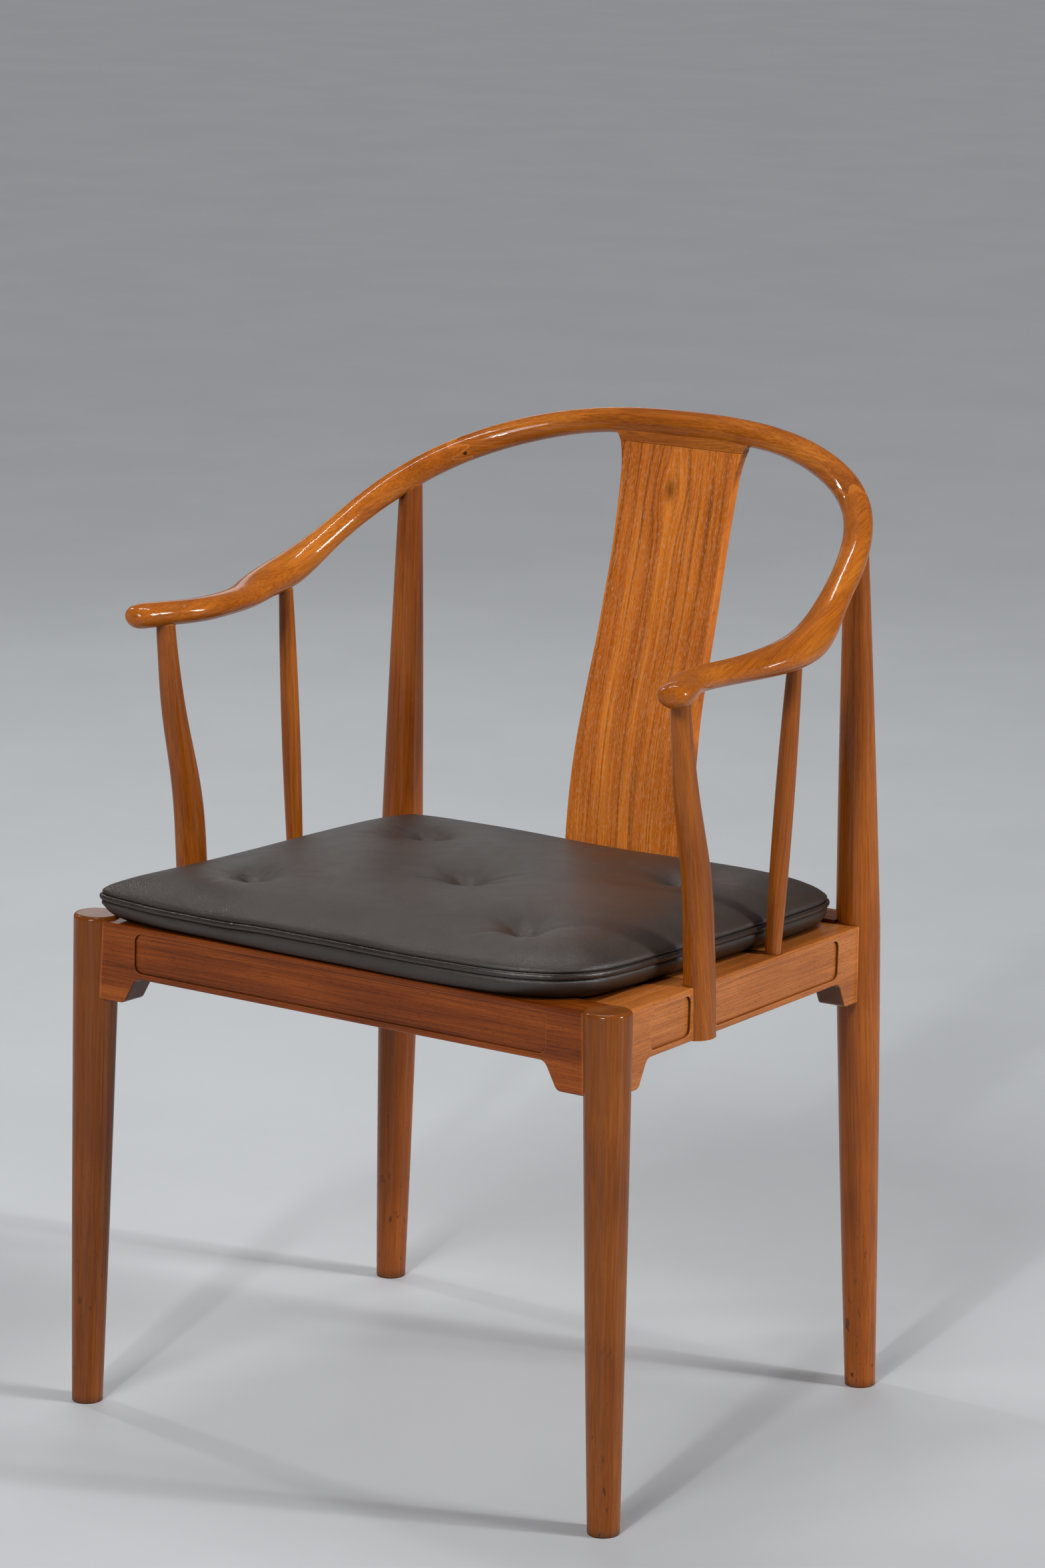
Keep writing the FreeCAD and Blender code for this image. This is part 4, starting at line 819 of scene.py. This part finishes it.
def place_camera():
    data = bpy.data.cameras.new("camera")
    data.sensor_fit = "VERTICAL"
    data.sensor_height = SENSOR_HEIGHT
    data.lens = LENS
    data.shift_x, data.shift_y = LENS_SHIFT
    camera = bpy.data.objects.new("camera", data)
    bpy.context.collection.objects.link(camera)
    back = Vector((math.sin(YAW) * math.cos(PITCH), -math.cos(YAW) * math.cos(PITCH), math.sin(PITCH)))
    right = Vector((math.cos(YAW), math.sin(YAW), 0.0))
    up = back.cross(right)
    across = math.cos(ROLL) * right + math.sin(ROLL) * up
    upward = -math.sin(ROLL) * right + math.cos(ROLL) * up
    turn = Matrix((across, upward, back)).transposed().to_4x4()
    camera.matrix_world = Matrix.Translation(CAMERA_PLACE) @ turn
    bpy.context.scene.camera = camera


# Floor and light

FLOOR_HALF = 45.0
FLOOR_SCALE = 3.0
FLOOR_TONES = ((0.530, 0.548, 0.568), (0.556, 0.574, 0.594))
SKY_LIGHT, SKY_STRENGTH = (0.96, 0.97, 1.0, 1.0), 0.095
SEEN_BACKGROUND = (0.34, 0.35, 0.365, 1.0)      # what the camera sees beyond the floor's end

# name, direction from the chair towards the light, strength, angle in degrees
SUNS = (("front", (0.10, -0.98, 0.58), 1.36, 22),
        ("right", (0.95, 0.30, 0.50), 1.60, 14))
# name, place, what it faces, size, watts; the narrow ones give the small crisp lights in the lacquer
LAMPS = (("front_lamp", (0.7, -3.2, 2.5), (0, 0, 0.6), (0.14, 0.50), 32),
         ("right_lamp", (3.2, 0.9, 2.3), (0, 0, 0.6), (0.14, 0.50), 30),
         ("left_lamp", (-3.0, 0.3, 2.6), (0, 0, 0.6), (0.16, 0.55), 16),
         ("above", (-0.5, 0.45, 2.9), (0, 0, 0.6), (1.5, 0.10), 20),
         ("behind", (-2.3, 2.4, 1.5), (0, 0, 0.5), (1.6, 0.8), 5))


def place_floor():
    mesh = bpy.data.meshes.new("floor")
    build = bmesh.new()
    bmesh.ops.create_grid(build, x_segments=1, y_segments=1, size=FLOOR_HALF)
    build.to_mesh(mesh)
    build.free()
    floor = bpy.data.objects.new("floor", mesh)
    bpy.context.collection.objects.link(floor)
    material, tree, shader = new_material("floor")
    cloud = noise_at(tree, object_place(tree), 6.0, 0.6, FLOOR_SCALE)
    colour = ramp(tree, cloud, [(0.3, FLOOR_TONES[0]), (0.7, FLOOR_TONES[1])])
    plug(tree, shader.inputs["Base Color"], colour)
    plug(tree, shader.inputs["Roughness"], 0.55)
    mesh.materials.append(material)


def add_lamp(name, kind, place, direction, energy):
    """A lamp that shines in the given direction."""
    data = bpy.data.lights.new(name, kind)
    data.energy = energy
    lamp = bpy.data.objects.new(name, data)
    bpy.context.collection.objects.link(lamp)
    lamp.matrix_world = Matrix.Translation(place) @ direction.to_track_quat("-Z", "Y").to_matrix().to_4x4()
    return data


def place_sky():
    """A faint even light from all round. The camera sees a plain grey of the floor's kind instead."""
    world = bpy.data.worlds.new("studio")
    bpy.context.scene.world = world
    world.use_nodes = True
    tree = world.node_tree
    light = tree.nodes["Background"]
    plug(tree, light.inputs["Color"], SKY_LIGHT)
    plug(tree, light.inputs["Strength"], SKY_STRENGTH)
    seen = add(tree, "ShaderNodeBackground", Color=SEEN_BACKGROUND, Strength=1.0)
    both = tree.nodes.new("ShaderNodeMixShader")
    camera_ray = add(tree, "ShaderNodeLightPath").outputs["Is Camera Ray"]
    for socket, value in zip(both.inputs, (camera_ray, light.outputs[0], seen.outputs[0])):
        plug(tree, socket, value)
    plug(tree, tree.nodes["World Output"].inputs["Surface"], both.outputs[0])


def place_lights():
    for name, towards, strength, angle in SUNS:
        sun = add_lamp(name, "SUN", 4.0 * Vector(towards), -Vector(towards), strength)
        sun.angle = math.radians(angle)
    for name, place, aim, size, power in LAMPS:
        lamp = add_lamp(name, "AREA", place, Vector(aim) - Vector(place), power)
        lamp.shape = "RECTANGLE"
        lamp.size, lamp.size_y = size


place_camera()
place_floor()
place_sky()
place_lights()
bpy.context.scene.view_settings.view_transform = "Standard"

bpy.context.view_layer.update()
